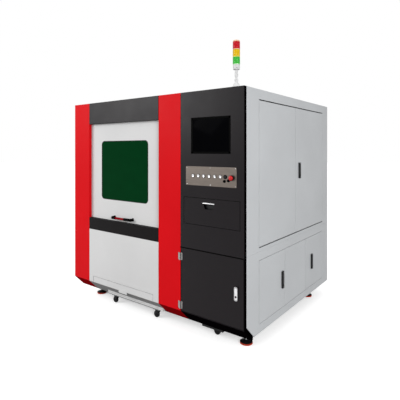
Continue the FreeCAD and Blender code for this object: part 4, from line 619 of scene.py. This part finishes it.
# %% Door handle
low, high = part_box("door_handle")
BAR_DEPTH = 19
BAR_HEIGHT = 23.4
BEND = 10.5
FRONT_PLAY, END_PLAY = 0.8, 0.4
SLEEVE_FROM, SLEEVE_TO = -64, 40
half_bow = (high.x - low.x) / 2 - (BAR_DEPTH / 2 + END_PLAY) * MM
grip = (low + high) / 2
grip.y = low.y + (FRONT_PLAY + BAR_DEPTH / 2) * MM
bar = bmesh.new()
for side, inner in ((-1, SLEEVE_FROM), (1, SLEEVE_TO)):
    foot = Vector((grip.x + side * half_bow, high.y, grip.z))
    ring = bmesh.ops.create_circle(bar, cap_ends=False, radius=0.5, segments=28)["verts"]
    bmesh.ops.rotate(bar, cent=(0, 0, 0), matrix=Matrix.Rotation(math.radians(90), 3, "X"), verts=ring)
    bmesh.ops.scale(bar, vec=(BAR_DEPTH * MM, 1, BAR_HEIGHT * MM), verts=ring)
    bmesh.ops.translate(bar, vec=foot, verts=ring)
    first = list({e for v in ring for e in v.link_edges})
    leg = high.y - grip.y - BEND * MM
    turn_at = Vector((foot.x, grip.y, grip.z)) + mm(-side * BEND, BEND, 0)
    run = grip.x + inner * MM - turn_at.x
    last = sweep(bar, first, [("run", (0, -leg, 0)), ("bend", turn_at, UP, math.radians(-90 * side), 8),
                              ("run", (run, 0, 0))])
    bmesh.ops.edgeloop_fill(bar, edges=first)
    bmesh.ops.edgeloop_fill(bar, edges=last)
    rounded_bar(bar, foot + mm(-10, -3, -12.5), foot + mm(9.6, 0, 12.5), 1, 5, 1)
add_piece("handle_bow", bar, "deep_black", "front_door", ["door_handle"])

# %% Sleeve of the handle
SLEEVE_TALL = 18
SLEEVE_DEEP = 15
GROOVES = 16
GROOVE_PITCH = 6.2
GROOVE_FLOOR = 0.965
sleeve_length = SLEEVE_TO - SLEEVE_FROM
grooves = ridges(GROOVES, GROOVE_PITCH, (1, 3), (GROOVE_FLOOR, 3.8), (GROOVE_FLOOR, 4.8), (1, 5.6))
sleeve_profile = [(r * SLEEVE_TALL / 2, d) for r, d in [(1, 0.5)] + grooves + [(1, sleeve_length - 0.5)]]
sleeve = bmesh.new()
spin_profile(sleeve, grip + mm(SLEEVE_FROM, 0, 0), (1, 0, 0),
             [(0, 0.1)] + sleeve_profile + [(0, sleeve_length - 0.1)])
bmesh.ops.scale(sleeve, vec=(1, SLEEVE_DEEP / SLEEVE_TALL, 1), space=Matrix.Translation(-grip),
                verts=sleeve.verts)
add_piece("handle_sleeve", sleeve, "grip_red", "front_door", ["door_handle"])

# %% [markdown]
# ## The window seal
#
# The filter pane lies flush in the door, and a thin black seal closes the joint round it. The seal
# is a slab with rounded corners whose middle is opened, so its inner corners follow the outer ones.

# %% Window seal
PANE_LAP = 14
SEAL_PROUD = 1.2
SEAL_WIDE = 4
SEAL_CORNER = 34.5
low, high = on_plane("door_window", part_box("door_window")[0].y)
bar_piece("window_seal", low + mm(PANE_LAP, -SEAL_PROUD, PANE_LAP), high + mm(-PANE_LAP, 0.5, -PANE_LAP),
          (1, SEAL_CORNER, 0, 8), "black_plastic", "front_door", SEAL_WIDE)

# %% [markdown]
# ## The screen
#
# The screen sits behind its cut-out in the column. A matt surround, another opened slab, goes round
# a pane that is black while it is off.

# %% Screen
SCREEN_LAP = 6
SURROUND_WIDE = 15
PANE_INSET = 18
low, high = on_plane("monitor", FRONT_Y)
bar_piece("screen_surround", low + mm(SCREEN_LAP, 0.3, SCREEN_LAP), high + mm(-SCREEN_LAP, 3, -SCREEN_LAP),
          (1, 2, 0, 3), "deep_black", rim_wide=SURROUND_WIDE)
bar_piece("screen_pane", low + mm(PANE_INSET, 1.6, PANE_INSET), high + mm(-PANE_INSET, 3.6, -PANE_INSET),
          (1, 2, 0.3, 3), "screen_plastic")

# %% [markdown]
# ## The switches
#
# Six plated push buttons, a key switch and a stop button share one size of hole, and two small
# sockets have black caps. All are turned parts.

# %% Bezels and push buttons
BUTTONS = ["push_button_%d" % number for number in range(1, 7)]
BEZEL = [(9.3, 1.8), (13.4, 1.8), (13.4, 4.4), (12.4, 5.5), (10.4, 5.6), (9.5, 5), (9.3, 1.8)]
CAP = [(0, -15), (9.15, -15), (9.15, 6), (8.4, 7), (7.6, 6.9), (5, 6.2), (0, 6)]
bezels = bmesh.new()
for node in BUTTONS + ["stop_button"]:
    spin_profile(bezels, front_centre(node), OUT, BEZEL)
add_piece("switch_bezels", bezels, "dark_steel")
for number, node in enumerate(BUTTONS, 1):
    turned_piece("button_cap_%d" % number, front_centre(node), OUT, CAP, "chrome", node, [node])

# %% [markdown]
# The key switch has a black bezel and a black core with a raised grip. The stop button's head is a
# flattened red dome on a wider black collar, and both press in together.

# %% Key switch, sockets and stop button
KEY_COLLAR = [(9.3, 1.8), (13.6, 1.8), (13.6, 5), (12.6, 6.2), (10.2, 6.2), (9.3, 5.4), (9.3, 1.8)]
KEY_CORE = [(0, -15), (9.15, -15), (9.15, 6.2), (8.2, 7), (0, 7)]
SOCKET_AT = ((-151, 1032), (-120, 1037))
SOCKET_CAP = [(0, 1), (10, 1), (10, 4), (9, 5), (8.6, 7.6), (7.2, 8.4), (0, 8.4)]
STOP_COLLAR = [(0, -15), (9.15, -15), (9.15, 10.4), (16.4, 10.2), (18.2, 10.8), (18.8, 12),
               (18.4, 13.4), (16.4, 14), (0, 14)]
STOP_HEAD = [(0, 13.6), (14.6, 13.6), (15.8, 14.4), (16.2, 16.7), (15.6, 19.4), (13.4, 22.6),
             (9, 25), (0, 25.98)]
key_at = front_centre("key_switch")
turned_piece("key_collar", key_at, OUT, KEY_COLLAR, "deep_black")
core = bmesh.new()
spin_profile(core, key_at, OUT, KEY_CORE)
rounded_bar(core, key_at + mm(-4.5, -8, -1.4), key_at + mm(4.5, -6.9, 1.4), 1, 1.2, 0.3)
add_piece("key_core", core, "black_plastic", "key_switch", ["key_switch"])

sockets = bmesh.new()
for x, z in SOCKET_AT:
    spin_profile(sockets, CORNER + mm(x, 0, z), OUT, SOCKET_CAP, 32)
add_piece("socket_caps", sockets, "deep_black")

stop_at = front_centre("stop_button")
turned_piece("stop_collar", stop_at, OUT, STOP_COLLAR, "deep_black", "stop_button", ["stop_button"])
turned_piece("stop_head", stop_at, OUT, STOP_HEAD, "red_plastic", "stop_button", ["stop_button"])

# %% [markdown]
# ## Screws of the switch plate
#
# Six small pan head screws hold the plate: one in each corner and one halfway along each long edge.

# %% Plate screws
PLATE_SCREW_INSET = 8
PLATE_FACE = 1.9
low, high = on_plane("control_plate", FRONT_Y - PLATE_FACE * MM)
low += mm(PLATE_SCREW_INSET, 0, PLATE_SCREW_INSET)
high -= mm(PLATE_SCREW_INSET, 0, PLATE_SCREW_INSET)
plate_screws = bmesh.new()
for x in (low.x, (low.x + high.x) / 2, high.x):
    for z in (low.z, high.z):
        screw(plate_screws, Vector((x, low.y, z)), OUT, 2.8, 1.8)
add_piece("plate_screws", plate_screws, "chrome")

# %% [markdown]
# ## The keyboard drawer
#
# The pull is a bright bent lip over a dark cup in the drawer front. Inside, a low keyboard with rows
# of keys and a mouse lie in the tray.

# %% Drawer pull
CUP_OUTLINE = [(-46.5, -2.6), (46.5, -2.6), (31, -39.8), (-31, -39.8)]
CUP_DEPTH = 17.4
pull = CORNER + mm(-280.5, 0, 873)
bar_piece("pull_lip", pull + mm(-49, -5, -2.6), pull + mm(49, -0.05, 4.4), (0, 1.6, 0.6, 4),
          "ground_aluminium", "keyboard_drawer")
cup = bmesh.new()
cut_plate(cup, [pull + mm(x, CUP_DEPTH, z) for x, z in CUP_OUTLINE], mm(0, 0.4, 0))
add_piece("pull_cup_back", cup, "black_plastic", "keyboard_drawer")

# %% Keyboard and mouse
BOARD_HALF_WIDE, BOARD_HALF_DEEP, BOARD_TALL = 150, 62, 14
KEY_PITCH = 19
KEY_WIDE, KEY_DEEP, KEY_TALL = 16, 16, 8
KEY_ROWS = (15, 15, 14, 13, 12)
SPACE_ROW = ((-130, 22), (-106, 20), (-83, 20), (0, 138), (83, 20), (106, 20),
             (130, 22))
FIRST_KEY = -133
ROWS_END = 142.5
TOP_ROW = 44
board_at = CORNER + mm(0, 150, 728.3)
board_at.x = front_centre("keyboard_drawer").x - 50 * MM
bar_piece("keyboard_base", board_at + mm(-BOARD_HALF_WIDE, -BOARD_HALF_DEEP, 0),
          board_at + mm(BOARD_HALF_WIDE, BOARD_HALF_DEEP, BOARD_TALL), (2, 8, 2), "black_plastic",
          "keyboard_drawer")
keys = bmesh.new()


def key(x, row, width):
    """One key cap of a row, drawn in towards its top."""
    cap = bmesh.ops.create_cube(keys, size=1)["verts"]
    bmesh.ops.scale(keys, vec=mm(width, KEY_DEEP, KEY_TALL), verts=cap)
    top = [v for v in cap if v.co.z > 0]
    bmesh.ops.scale(keys, vec=(1 - 4 / width, 0.75, 1), verts=top)
    bmesh.ops.translate(keys, vec=board_at + mm(x, TOP_ROW - row * KEY_PITCH, BOARD_TALL + 3), verts=cap)


for row, count in enumerate(KEY_ROWS):
    for number in range(count - 1):
        key(FIRST_KEY + number * KEY_PITCH, row, KEY_WIDE)
    wide = 2 * ROWS_END - (count - 1) * KEY_PITCH
    key(ROWS_END - wide / 2, row, wide - 3)
for x, width in SPACE_ROW:
    key(x, len(KEY_ROWS), width)
add_piece("keyboard_keys", keys, "black_plastic", "keyboard_drawer", soft=20)

mouse = bmesh.new()
ball = bmesh.ops.create_uvsphere(mouse, u_segments=32, v_segments=20, radius=1)["verts"]
bmesh.ops.scale(mouse, vec=mm(31, 56, 32), verts=ball)
bmesh.ops.bisect_plane(mouse, geom=mouse.verts[:] + mouse.edges[:] + mouse.faces[:], plane_co=(0, 0, 0),
                       plane_no=UP, clear_inner=True)
bmesh.ops.holes_fill(mouse, edges=mouse.edges[:], sides=0)
bmesh.ops.translate(mouse, vec=board_at + mm(200, 0, 0), verts=mouse.verts)
add_piece("mouse", mouse, "black_plastic", "keyboard_drawer")

# %% [markdown]
# ## Steel hinges
#
# Two butt hinges carry the cabinet door. Each leaf is a thin plate with rounded corners and two
# screws. The outer knuckles stay with the column and the middle one turns with the door.

# %% Hinges of the cabinet door
HINGE_HEIGHTS = (128, 477)
HINGE_TALL = 52
HINGE_HALF = 26
LEAF_HALF = 26.2
LEAF_NEAR, LEAF_FAR = 4, 19.2
SCREW_OUT, SCREW_UP = 12.5, 16
KNUCKLE = HINGE_TALL / 3
axis_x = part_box("cabinet_hinges")[0].x + 19 * MM
fixed = bmesh.new()
turning = bmesh.new()
for height in HINGE_HEIGHTS:
    at = Vector((axis_x, FRONT_Y, BASE_Z + height * MM))
    for bm, side in ((fixed, -1), (turning, 1)):
        start, end = sorted((side * LEAF_NEAR, side * LEAF_FAR))
        rounded_bar(bm, at + mm(start, -2.3, -LEAF_HALF), at + mm(end, -0.02, LEAF_HALF), 1, 3, 0.4)
        for up in (-SCREW_UP, SCREW_UP):
            screw(bm, at + mm(side * SCREW_OUT, -2.2, up), OUT, 3.4, 1.2)
    for bm, start, end in ((fixed, 0, KNUCKLE - 0.1), (turning, KNUCKLE + 0.2, 2 * KNUCKLE - 0.2),
                           (fixed, 2 * KNUCKLE + 0.1, HINGE_TALL)):
        profile = [(0, start), (5.6, start), (6.1, start + 0.5), (6.1, end - 0.5), (5.6, end), (0, end)]
        spin_profile(bm, at + mm(0, -6, -HINGE_HALF), UP, profile, 32)
add_piece("hinge_fixed_halves", fixed, "satin_steel", replaces=["cabinet_hinges"])
add_piece("hinge_turning_halves", turning, "satin_steel", "cabinet_door")

# %% [markdown]
# ## Paddle latches
#
# A paddle latch is a frame with rounded corners and a paddle in it that swings out when its lower end
# is pressed. The one on the cabinet door is chrome, the three on the side are black, and each has a
# keyhole. The same helper makes all four: it works in the latch's own plane and is then turned to
# its door.

# %% Latches
KEYHOLE_UP = 25
KEYHOLE_RING = [(7.2, -2), (7.2, 0.4), (8.2, 0.5), (8.7, 0.1), (8.7, -2)]
KEYHOLE = [(0, -1), (7.25, -1), (7.25, 0.45), (0, 0.45)]


def latch(name, at, turn, width, tall, proud, finish, door, node, corner):
    """A frame that rides on the door and a paddle that replaces the latch's own solid."""
    place = Matrix.Translation(at) @ Matrix.Rotation(turn, 4, "Z")
    half = width / 2
    up = tall / 2
    inner = half - 3.35
    rim = bmesh.new()
    rounded_bar(rim, mm(-half, -proud, -up), mm(half, -0.02, up), 1, corner, 0, 8)
    open_middle(rim, 3.1)
    bevel(rim, [e for e in rim.edges if all(v.co.y < -(proud - 0.01) * MM for v in e.verts)], 0.7, 2)
    paddle = bmesh.new()
    rounded_bar(paddle, mm(-inner, 0.8 - proud, 4.2 - up), mm(inner, -2.4, up - 6.4), 1, max(2, corner - 3.2),
                0.8, 8)
    spin_profile(paddle, mm(0, 0.9 - proud, KEYHOLE_UP - up), OUT, KEYHOLE_RING, 32)
    hole = bmesh.new()
    spin_profile(hole, mm(0, 1 - proud, KEYHOLE_UP - up), OUT, KEYHOLE, 32)
    for bm in (rim, paddle, hole):
        bmesh.ops.transform(bm, matrix=place, verts=bm.verts)
    add_piece(name + "_frame", rim, finish, door)
    add_piece(name + "_paddle", paddle, finish, node, [node])
    add_piece(name + "_keyhole", hole, "deep_black", node)


latch_at = front_centre("latch_paddle")
latch_at.z = BASE_Z + 312.5 * MM
latch("cabinet_latch", latch_at, 0, 24.4, 89.4, 11.9, "chrome", "cabinet_door", "latch_paddle", 9)
SIDE_LOCKS = (
    ("upper_lock", "right_upper_rear_leaf", 1074),
    ("lower_front_lock", "right_lower_front_leaf", 269),
    ("lower_rear_lock", "right_lower_rear_leaf", 273.5),
)
for name, door, height in SIDE_LOCKS:
    node = name + "_paddle"
    low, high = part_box(node)
    at = Vector((RIGHT_X, (low.y + high.y) / 2, BASE_Z + height * MM))
    latch(name, at, math.radians(90), 25.4, 128.4, 11.95, "black_plastic", door, node, 3.5)

# %% [markdown]
# ## Levelling feet
#
# Each corner stands on a foot: a ribbed rubber ring on the floor, a black steel dome over it, and a
# threaded stem with a lock nut.

# %% Levelling feet
FOOT_R = 45
RIBS = [(44.8 - 1.3 * (i % 2), 1.2 + i * 1.15) for i in range(9)]
RUBBER = [(0, 0), (43.5, 0)] + RIBS + [(43, 11.9), (0, 11.9)]
DOME = [(0, 11.5), (43.8, 11.5), (44.9, 12.6), (44.2, 14.2), (38, 17), (27, 20.6), (17, 25.2),
        (15, 27.8), (0, 28)]
THREAD_PITCH = 3.4
STEM = [(0, 27)] + ridges(22, THREAD_PITCH, (7.2, 28), (8, 29.7)) + [(0, 104.9)]
NUT_R, NUT_TALL, NUT_LOW = 14, 12.6, 92.2
low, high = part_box("levelling_feet")
low += mm(FOOT_R, FOOT_R, 0)
high -= mm(FOOT_R, FOOT_R, 0)
rubber = bmesh.new()
domes = bmesh.new()
stems = bmesh.new()
for at in [Vector((x, y, 0)) for x in (low.x, high.x) for y in (low.y, high.y)]:
    spin_profile(rubber, at, UP, RUBBER, 56)
    spin_profile(domes, at, UP, DOME, 56)
    spin_profile(stems, at, UP, STEM, 24)
    nut = bmesh.new()
    bmesh.ops.create_circle(nut, cap_ends=True, radius=NUT_R * MM, segments=6)
    push_out(nut, nut.faces[:], mm(0, 0, NUT_TALL))
    bevel(nut, nut.edges[:], 0.9, 2)
    bmesh.ops.translate(nut, vec=at + mm(0, 0, NUT_LOW), verts=nut.verts)
    nut_mesh = bpy.data.meshes.new("nut")
    nut.to_mesh(nut_mesh)
    nut.free()
    stems.from_mesh(nut_mesh)
    bpy.data.meshes.remove(nut_mesh)
for name, bm, finish in (("foot_rubber", rubber, "orange_rubber"), ("foot_domes", domes, "black_enamel"),
                         ("foot_stems", stems, "galvanised")):
    add_piece(name, bm, finish, replaces=["levelling_feet"])

# %% [markdown]
# ## Castors
#
# Each castor is a black pressed fork with a ball race on top and a hard rubber wheel. The fork's two
# cheeks are cut to a tapering outline, and a rounded bridge joins them over the wheel.

# %% Castors
WHEEL_R = 27
WHEEL_HALF = 9.9
PLATE_HALF = 30.25
PLATE_LOW, PLATE_HIGH = 71.95, 75.3
CHEEK = 2.5
CHEEK_OUT = 13.5
TRAIL = 14
AXLE_UP = 28
HEAD_TOP = 71.7
CHEEK_OUTLINE = [(20, 66.5), (-20, 66.5), (-24.5, 38), (-22.6, 24), (-17, 18.6), (-10.6, 18.6),
                 (-4.4, 24), (14, 50)]
RACE = [(0, 66), (21, 66), (22.4, 67), (22.4, 68.6), (19.6, 69.4), (19.6, 70.4), (21.4, 71),
        (21.4, HEAD_TOP), (0, HEAD_TOP)]
AXLE = [(0, -15.6), (5.4, -15.6), (6, -14.8), (6, -13.4), (4, -13.4), (4, 13.4), (6, 13.4),
        (6, 14.8), (5.4, 15.6), (0, 15.6)]
HALF_WHEEL = [(WHEEL_R, 3), (26.6, 6.2), (24.6, 8.6), (21.6, WHEEL_HALF), (19.4, WHEEL_HALF), (18.2, 7.6),
              (9.4, 7), (8.2, WHEEL_HALF), (4.1, WHEEL_HALF)]
WHEEL = [(r, -d) for r, d in reversed(HALF_WHEEL)] + HALF_WHEEL
plates = bmesh.new()
for place in [row + "_" + side for row in ("front", "rear") for side in ("left", "middle", "right")]:
    low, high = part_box("castor_wheel_" + place)
    axle = (low + high) / 2
    axle.z = AXLE_UP * MM
    pin = Vector((axle.x, axle.y, 0)) + mm(TRAIL, 0, 0)
    rounded_bar(plates, pin + mm(-PLATE_HALF, -PLATE_HALF, PLATE_LOW),
                pin + mm(PLATE_HALF, PLATE_HALF, PLATE_HIGH), 2, 0.3, 0.1, 2)
    fork = bmesh.new()
    for side in (-1, 1):
        cut_plate(fork, [pin + mm(along, side * CHEEK_OUT, up) for along, up in CHEEK_OUTLINE],
                  mm(0, -side * CHEEK, 0))
    bevel(fork, fork.edges[:], 0.7, 2)
    rounded_bar(fork, pin + mm(-20, -CHEEK_OUT, 61.5), pin + mm(20, CHEEK_OUT, 67.5), 2, 5, 1.2)
    spin_profile(fork, pin, UP, RACE, 40)
    spin_profile(fork, axle, BACK, AXLE, 20)
    node = "castor_fork_" + place
    add_piece("castor_fork_shape_" + place, fork, "black_enamel", node, [node])
    node = "castor_wheel_" + place
    turned_piece("castor_tyre_" + place, axle, BACK, WHEEL + [WHEEL[0]], "wheel_rubber", node, [node], 56)
add_piece("castor_plates", plates, "black_enamel")

# %% [markdown]
# ## The lamp beacon
#
# A pole with a flared foot and a round knuckle carries a white housing and three lamp drums, whose
# ribs show as fine rings. A paler ring seals the foot of each drum, and a pale cap closes the top one.

# %% Beacon pole and housing
POLE = [(0, 0), (25, 0), (25, 24), (23.8, 30.5), (20.4, 37.5), (15, 44.5), (10.6, 50.5),
        (9.6, 53.5), (11.2, 58.5), (13, 64.5), (12.6, 70), (10.2, 75), (8.6, 79), (8.9, 84),
        (10.8, 90), (12, 98), (11.6, 108), (10.6, 118), (10, 127), (10, 135.5), (19.6, 136),
        (22.4, 137.4), (23.5, 141), (23.6, 148), (23.6, 169.6), (0, 169.6)]
CATCH_UP = 147
CATCH_TURN = math.radians(38)
low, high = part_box("beacon_stem")
beacon_at = Vector(((low.x + high.x) / 2, (low.y + high.y) / 2, low.z))
turned_piece("beacon_pole", beacon_at, UP, POLE, "white_plastic", replaces=["beacon_stem"], steps=56)
catch = bmesh.new()
rounded_bar(catch, mm(-4.6, -24.1, -1.3), mm(4.6, -22, 1.3), 1, 1.2, 0, 3)
catch_place = Matrix.Translation(beacon_at + mm(0, 0, CATCH_UP)) @ Matrix.Rotation(CATCH_TURN, 4, "Z")
bmesh.ops.transform(catch, matrix=catch_place, verts=catch.verts)
add_piece("housing_catch", catch, "black_plastic")

# %% Beacon lamps
LAMP_RING = [(0, -5.2), (23.9, -5.2), (24.7, -4.4), (24.9, -3.2), (24.7, -1), (23.9, -0.2), (0, -0.2)]
LAMP_CAP = [(0, 48.8), (23.9, 48.8), (24.4, 50.6), (24, 54), (21.6, 57.8), (16, 60), (8, 60.8),
            (0, 60.8)]
LAMP_RIBS = 13
for colour, top in (("green", 44.6), ("amber", 44.6), ("red", 48.6)):
    node = "beacon_lens_" + colour
    foot = Vector((beacon_at.x, beacon_at.y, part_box(node)[0].z))
    rim = bmesh.new()
    spin_profile(rim, foot, UP, LAMP_RING, 56)
    if colour == "red":
        spin_profile(rim, foot, UP, LAMP_CAP, 56)
    add_piece("lamp_rim_" + colour, rim, "rim_" + colour, replaces=[node])
    rib = (top - 1.4) / LAMP_RIBS
    ribs = ridges(LAMP_RIBS, rib, (24.9, 0.7), (24.9, 0.7 + 0.6 * rib), (24.1, 0.7 + 0.8 * rib))
    turned_piece("lamp_drum_" + colour, foot, UP, [(0, 0), (23.6, 0)] + ribs + [(23.6, top), (0, top)],
                 "lens_" + colour, replaces=[node], steps=56)

# %% [markdown]
# ## The rail under the toe, the seals and the strips
#
# Under the sloping toe of the work bay runs a pale folded rail with a groove along it. Most of it
# belongs to the scrap drawer's front and slides out with it, and a short end stays with the panel.
# Black rubber seals lie over and under the opening of the tall side doors and over the cabinet door.
# Black strips behind the seams under the keyboard drawer and the cabinet door close the view through them, and
# their black is painted shade for the dark inside.

# %% Toe rail
TOE_TOP = 84
RAIL_TOP = 27
RAIL_FOOT = 3
RAIL_FACE = TOE_TOP - RAIL_TOP
GROOVE_IN = RAIL_FACE + 4
RAIL = [(RAIL_FACE, RAIL_TOP), (RAIL_FACE, 14), (GROOVE_IN, 14), (GROOVE_IN, 12), (RAIL_FACE, 12),
        (RAIL_FACE, RAIL_FOOT), (TOE_TOP - RAIL_FOOT - 0.6, RAIL_FOOT), (RAIL_FACE + 1.4, RAIL_TOP - 2)]
drawer_low, drawer_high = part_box("scrap_drawer")
panel_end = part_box("lower_front_panel")[1].x
RAIL_ENDS = (
    ("toe_rail_drawer", drawer_low.x + 130 * MM, drawer_high.x - 0.5 * MM, "scrap_drawer"),
    ("toe_rail_panel", drawer_high.x + 3.5 * MM, panel_end - 1 * MM, "cabinet"),
)
for name, start, end, body in RAIL_ENDS:
    rail = bmesh.new()
    sideways_bar(rail, start, end, BASE_Z, RAIL)
    bevel(rail, rail.edges[:], 0.5, 2)
    add_piece(name, rail, "white_paint", body)

# %% Door seals
OPENING_FRONT, OPENING_BACK, OPENING_LOW, OPENING_HIGH = 192, 1405, 580, 1578
SEAL_TALL = 4.2
seals = bmesh.new()
for edge in (OPENING_LOW - SEAL_TALL - 0.4, OPENING_HIGH + 0.4):
    rounded_bar(seals, CORNER + mm(-0.05, OPENING_FRONT, edge),
                CORNER + mm(1.6, OPENING_BACK, edge + SEAL_TALL), 1, 0.7, 0.3, 3)
add_piece("side_door_seals", seals, "deep_black")

door_low, door_high = on_plane("cabinet_door", FRONT_Y)
bar_piece("cabinet_door_seal", Vector((door_low.x, FRONT_Y, door_high.z)) + mm(3, -0.6, 2.2),
          door_high + mm(0, 0.05, 8.2), (1, 0.8, 0.2, 3), "deep_black")

# %% Strips behind the seams
UNDER_DRAWER = [(1.95, -7), (27, -7), (27, 3), (24, 3), (24, -4), (1.95, -4)]
UNDER_DOOR = [(12.5, 77.5), (21.05, 77.5), (21.05, 86.5), (12.5, 86.5)]
tray_low, tray_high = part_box("keyboard_drawer")
strips = bmesh.new()
sideways_bar(strips, tray_low.x + 4 * MM, tray_high.x - 4 * MM, tray_low.z, UNDER_DRAWER)
sideways_bar(strips, door_low.x + 6 * MM, door_high.x - 4 * MM, BASE_Z, UNDER_DOOR)
# painted shade: the strips are dull black so that the seams look dark inside
add_piece("seam_shade_strips", strips, "deep_black")

# %% [markdown]
# ## The cutting head
#
# A moulded cover goes over the head's square body. Above it stands the collimator with its knurled
# ring, and below it a copper nozzle in a steel holder.

# %% Cutting head
NOZZLE_TALL, BODY_UP, BODY_TALL, BODY_HALF = 48, 46, 170, 32
HOLDER_TOP = NOZZLE_TALL - 2.4
BODY_TOP = BODY_UP + BODY_TALL
COVER_HALF = BODY_HALF + 0.6
NOZZLE = [(0, 0.02), (1.2, 0.02), (2.9, 0.3), (14.3, 23.6), (18.3, 24.4), (18.3, 30), (17, 30.6),
          (17, 32.4), (18.3, 33), (18.3, 38), (0, 38)]
HOLDER = [(0, 38.2), (20, 38.2), (21.5, 39.4), (21.5, 42), (20.6, 42.8), (21.5, 43.6),
          (21.5, HOLDER_TOP), (0, HOLDER_TOP)]
KNURLS = ridges(10, 2, (24.6, 30), (25.4, 30.6), (25.4, 31.4))
COLLIMATOR = [(0, -1), (27, -1), (27, 5), (24.6, 6)] + KNURLS + [(24.6, 52), (24.6, 79), (22.8, 82.3),
                                                                 (13.2, 104), (13.2, 105.8), (0, 105.8)]
low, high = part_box("cutting_head")
head = Vector(((low.x + high.x) / 2, low.y + BODY_HALF * MM, low.z))
bar_piece("head_cover", head + mm(-COVER_HALF, 0.05 - BODY_HALF, BODY_UP - 0.4),
          head + mm(COVER_HALF, 31, BODY_TOP + 0.4), (2, 6, 1.2), "black_plastic", "cutting_head")
turned_piece("head_nozzle", head, UP, NOZZLE, "copper", "cutting_head")
holder = bmesh.new()
spin_profile(holder, head, UP, HOLDER)
spin_profile(holder, head + mm(0, 0, BODY_TOP - 2), UP, COLLIMATOR)
add_piece("head_metal", holder, "satin_steel", "cutting_head", slot="ground_aluminium")

# %% [markdown]
# ## Drives, breakers and the computer
#
# The drives stand in a row on the partition, each with a dark display, four keys, two sockets and a
# green terminal strip. The breakers above them have a stepped nose and two levers. The computer's
# front has a power button, two sockets and cooling slots.

# %% Drives and breakers
FIRST_DEVICE = 600
DRIVES, DRIVE_PITCH, DRIVE_OUT = 5, 78, 158
BREAKERS, BREAKER_PITCH, BREAKER_OUT = 8, 40, 68
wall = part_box("partition")[1].x - 180 * MM
fronts = bmesh.new()
dark_parts = bmesh.new()
terminals = bmesh.new()


def on_wall(bm, out, depth, height, wide, tall, corner=0.8, lift=1.6):
    """A small rounded block on a face that looks to the right, measured from the partition's sheet."""
    at = Vector((wall, FRONT_Y, BASE_Z)) + mm(out, depth, height)
    rounded_bar(bm, at - mm(0.05, wide / 2, tall / 2), at + mm(lift, wide / 2, tall / 2), 0, corner,
                0.3, 3)


for i in range(DRIVES):
    middle = FIRST_DEVICE + i * DRIVE_PITCH + 27.5
    face = DRIVE_OUT + 1.2
    on_wall(fronts, DRIVE_OUT, middle, 777.5, 51, 156, 3, 1.2)
    on_wall(dark_parts, face, middle, 830, 34, 16, 1.5)
    for j in range(4):
        on_wall(dark_parts, face, middle - 15 + j * 10, 810, 6.5, 6.5, 1.4)
    on_wall(dark_parts, face, middle - 12, 785, 12, 22, 1)
    on_wall(dark_parts, face, middle + 10, 785, 16, 22, 1)
    for j in range(6):
        on_wall(terminals, face, middle - 18.75 + j * 7.5, 728, 6.9, 22, 0.6, 4)
for i in range(BREAKERS):
    middle = FIRST_DEVICE + i * BREAKER_PITCH + 18
    on_wall(fronts, BREAKER_OUT, middle, 1197.5, 33, 44, 2, 6)
    for side in (-8, 8):
        on_wall(dark_parts, BREAKER_OUT + 6, middle + side, 1200, 7, 14, 1.4, 5)
add_piece("device_fronts", fronts, "white_plastic")
add_piece("device_keys", dark_parts, "black_plastic")
add_piece("device_terminals", terminals, "green_plastic")

# %% Computer and laser source
CASE_SLOTS, CASE_SLOT_PITCH = 14, 9.6
SOURCE_SLOTS, SOURCE_SLOT_PITCH = 22, 22
case = Vector((wall, FRONT_Y, BASE_Z)) + mm(90, 90, 180)
source_low, source_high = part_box("laser_source")
source_side = Vector((source_high.x, source_low.y, source_low.z))
trim = bmesh.new()
for i in range(CASE_SLOTS):
    x = -62 + i * CASE_SLOT_PITCH
    rounded_bar(trim, case + mm(x - 2.2, -1.2, 96), case + mm(x + 2.2, 0.05, 176), 1, 2, 0.3, 3)
for x in (-34, -10):
    rounded_bar(trim, case + mm(x - 7, -1.5, 30), case + mm(x + 7, 0.05, 36), 1, 0.8, 0.3, 3)
for i in range(SOURCE_SLOTS):
    y = 110 + i * SOURCE_SLOT_PITCH
    rounded_bar(trim, source_side + mm(-6.2, y, 50), source_side + mm(-4.6, y + 7, 140), 0, 3, 0.3, 3)
add_piece("cooling_slots", trim, "deep_black")

# %% Power buttons
CASE_BUTTON = [(0, -0.1), (12, -0.1), (12, 1.4), (11, 2.4), (9.4, 2.4), (8.6, 1.6), (8.2, 3),
               (0, 3.4)]
source_front = Vector(((source_low.x + source_high.x) / 2, source_low.y, source_low.z))
power = bmesh.new()
spin_profile(power, case + mm(34, 0, 34), OUT, CASE_BUTTON, 36)
for x, r in ((0, 11), (60, 8), (-60, 8)):
    profile = [(0, -0.1), (r + 3, -0.1), (r + 3, 2.4), (r + 1.8, 3.4), (r, 3.2), (r - 1, 5.6), (0, 6)]
    spin_profile(power, source_front + mm(x, 40, 130), OUT, profile, 36)
add_piece("power_buttons", power, "satin_steel")

# %% [markdown]
# ## Screws of the back panel
#
# The back sheet is screwed to the frame along its edges.

# %% Back screws
BACK_FACE = 0.758
EDGE_UP, EDGE_IN = 14, 30
SCREWS_ACROSS, SCREWS_UP = 7, 5
PITCH_ACROSS, PITCH_UP = 290, 270
low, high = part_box("rear_panel")
back_screws = bmesh.new()
places = [(low.x + (EDGE_IN + i * PITCH_ACROSS) * MM, z) for i in range(SCREWS_ACROSS)
          for z in (low.z + EDGE_UP * MM, high.z - EDGE_UP * MM)]
places += [(x, low.z + (EDGE_UP + i * PITCH_UP) * MM) for i in range(1, SCREWS_UP + 1)
           for x in (low.x + EDGE_UP * MM, high.x - EDGE_UP * MM)]
for x, z in places:
    screw(back_screws, Vector((x, BACK_FACE, z)), BACK, 5, 2.6)
add_piece("back_screws", back_screws, "galvanised")
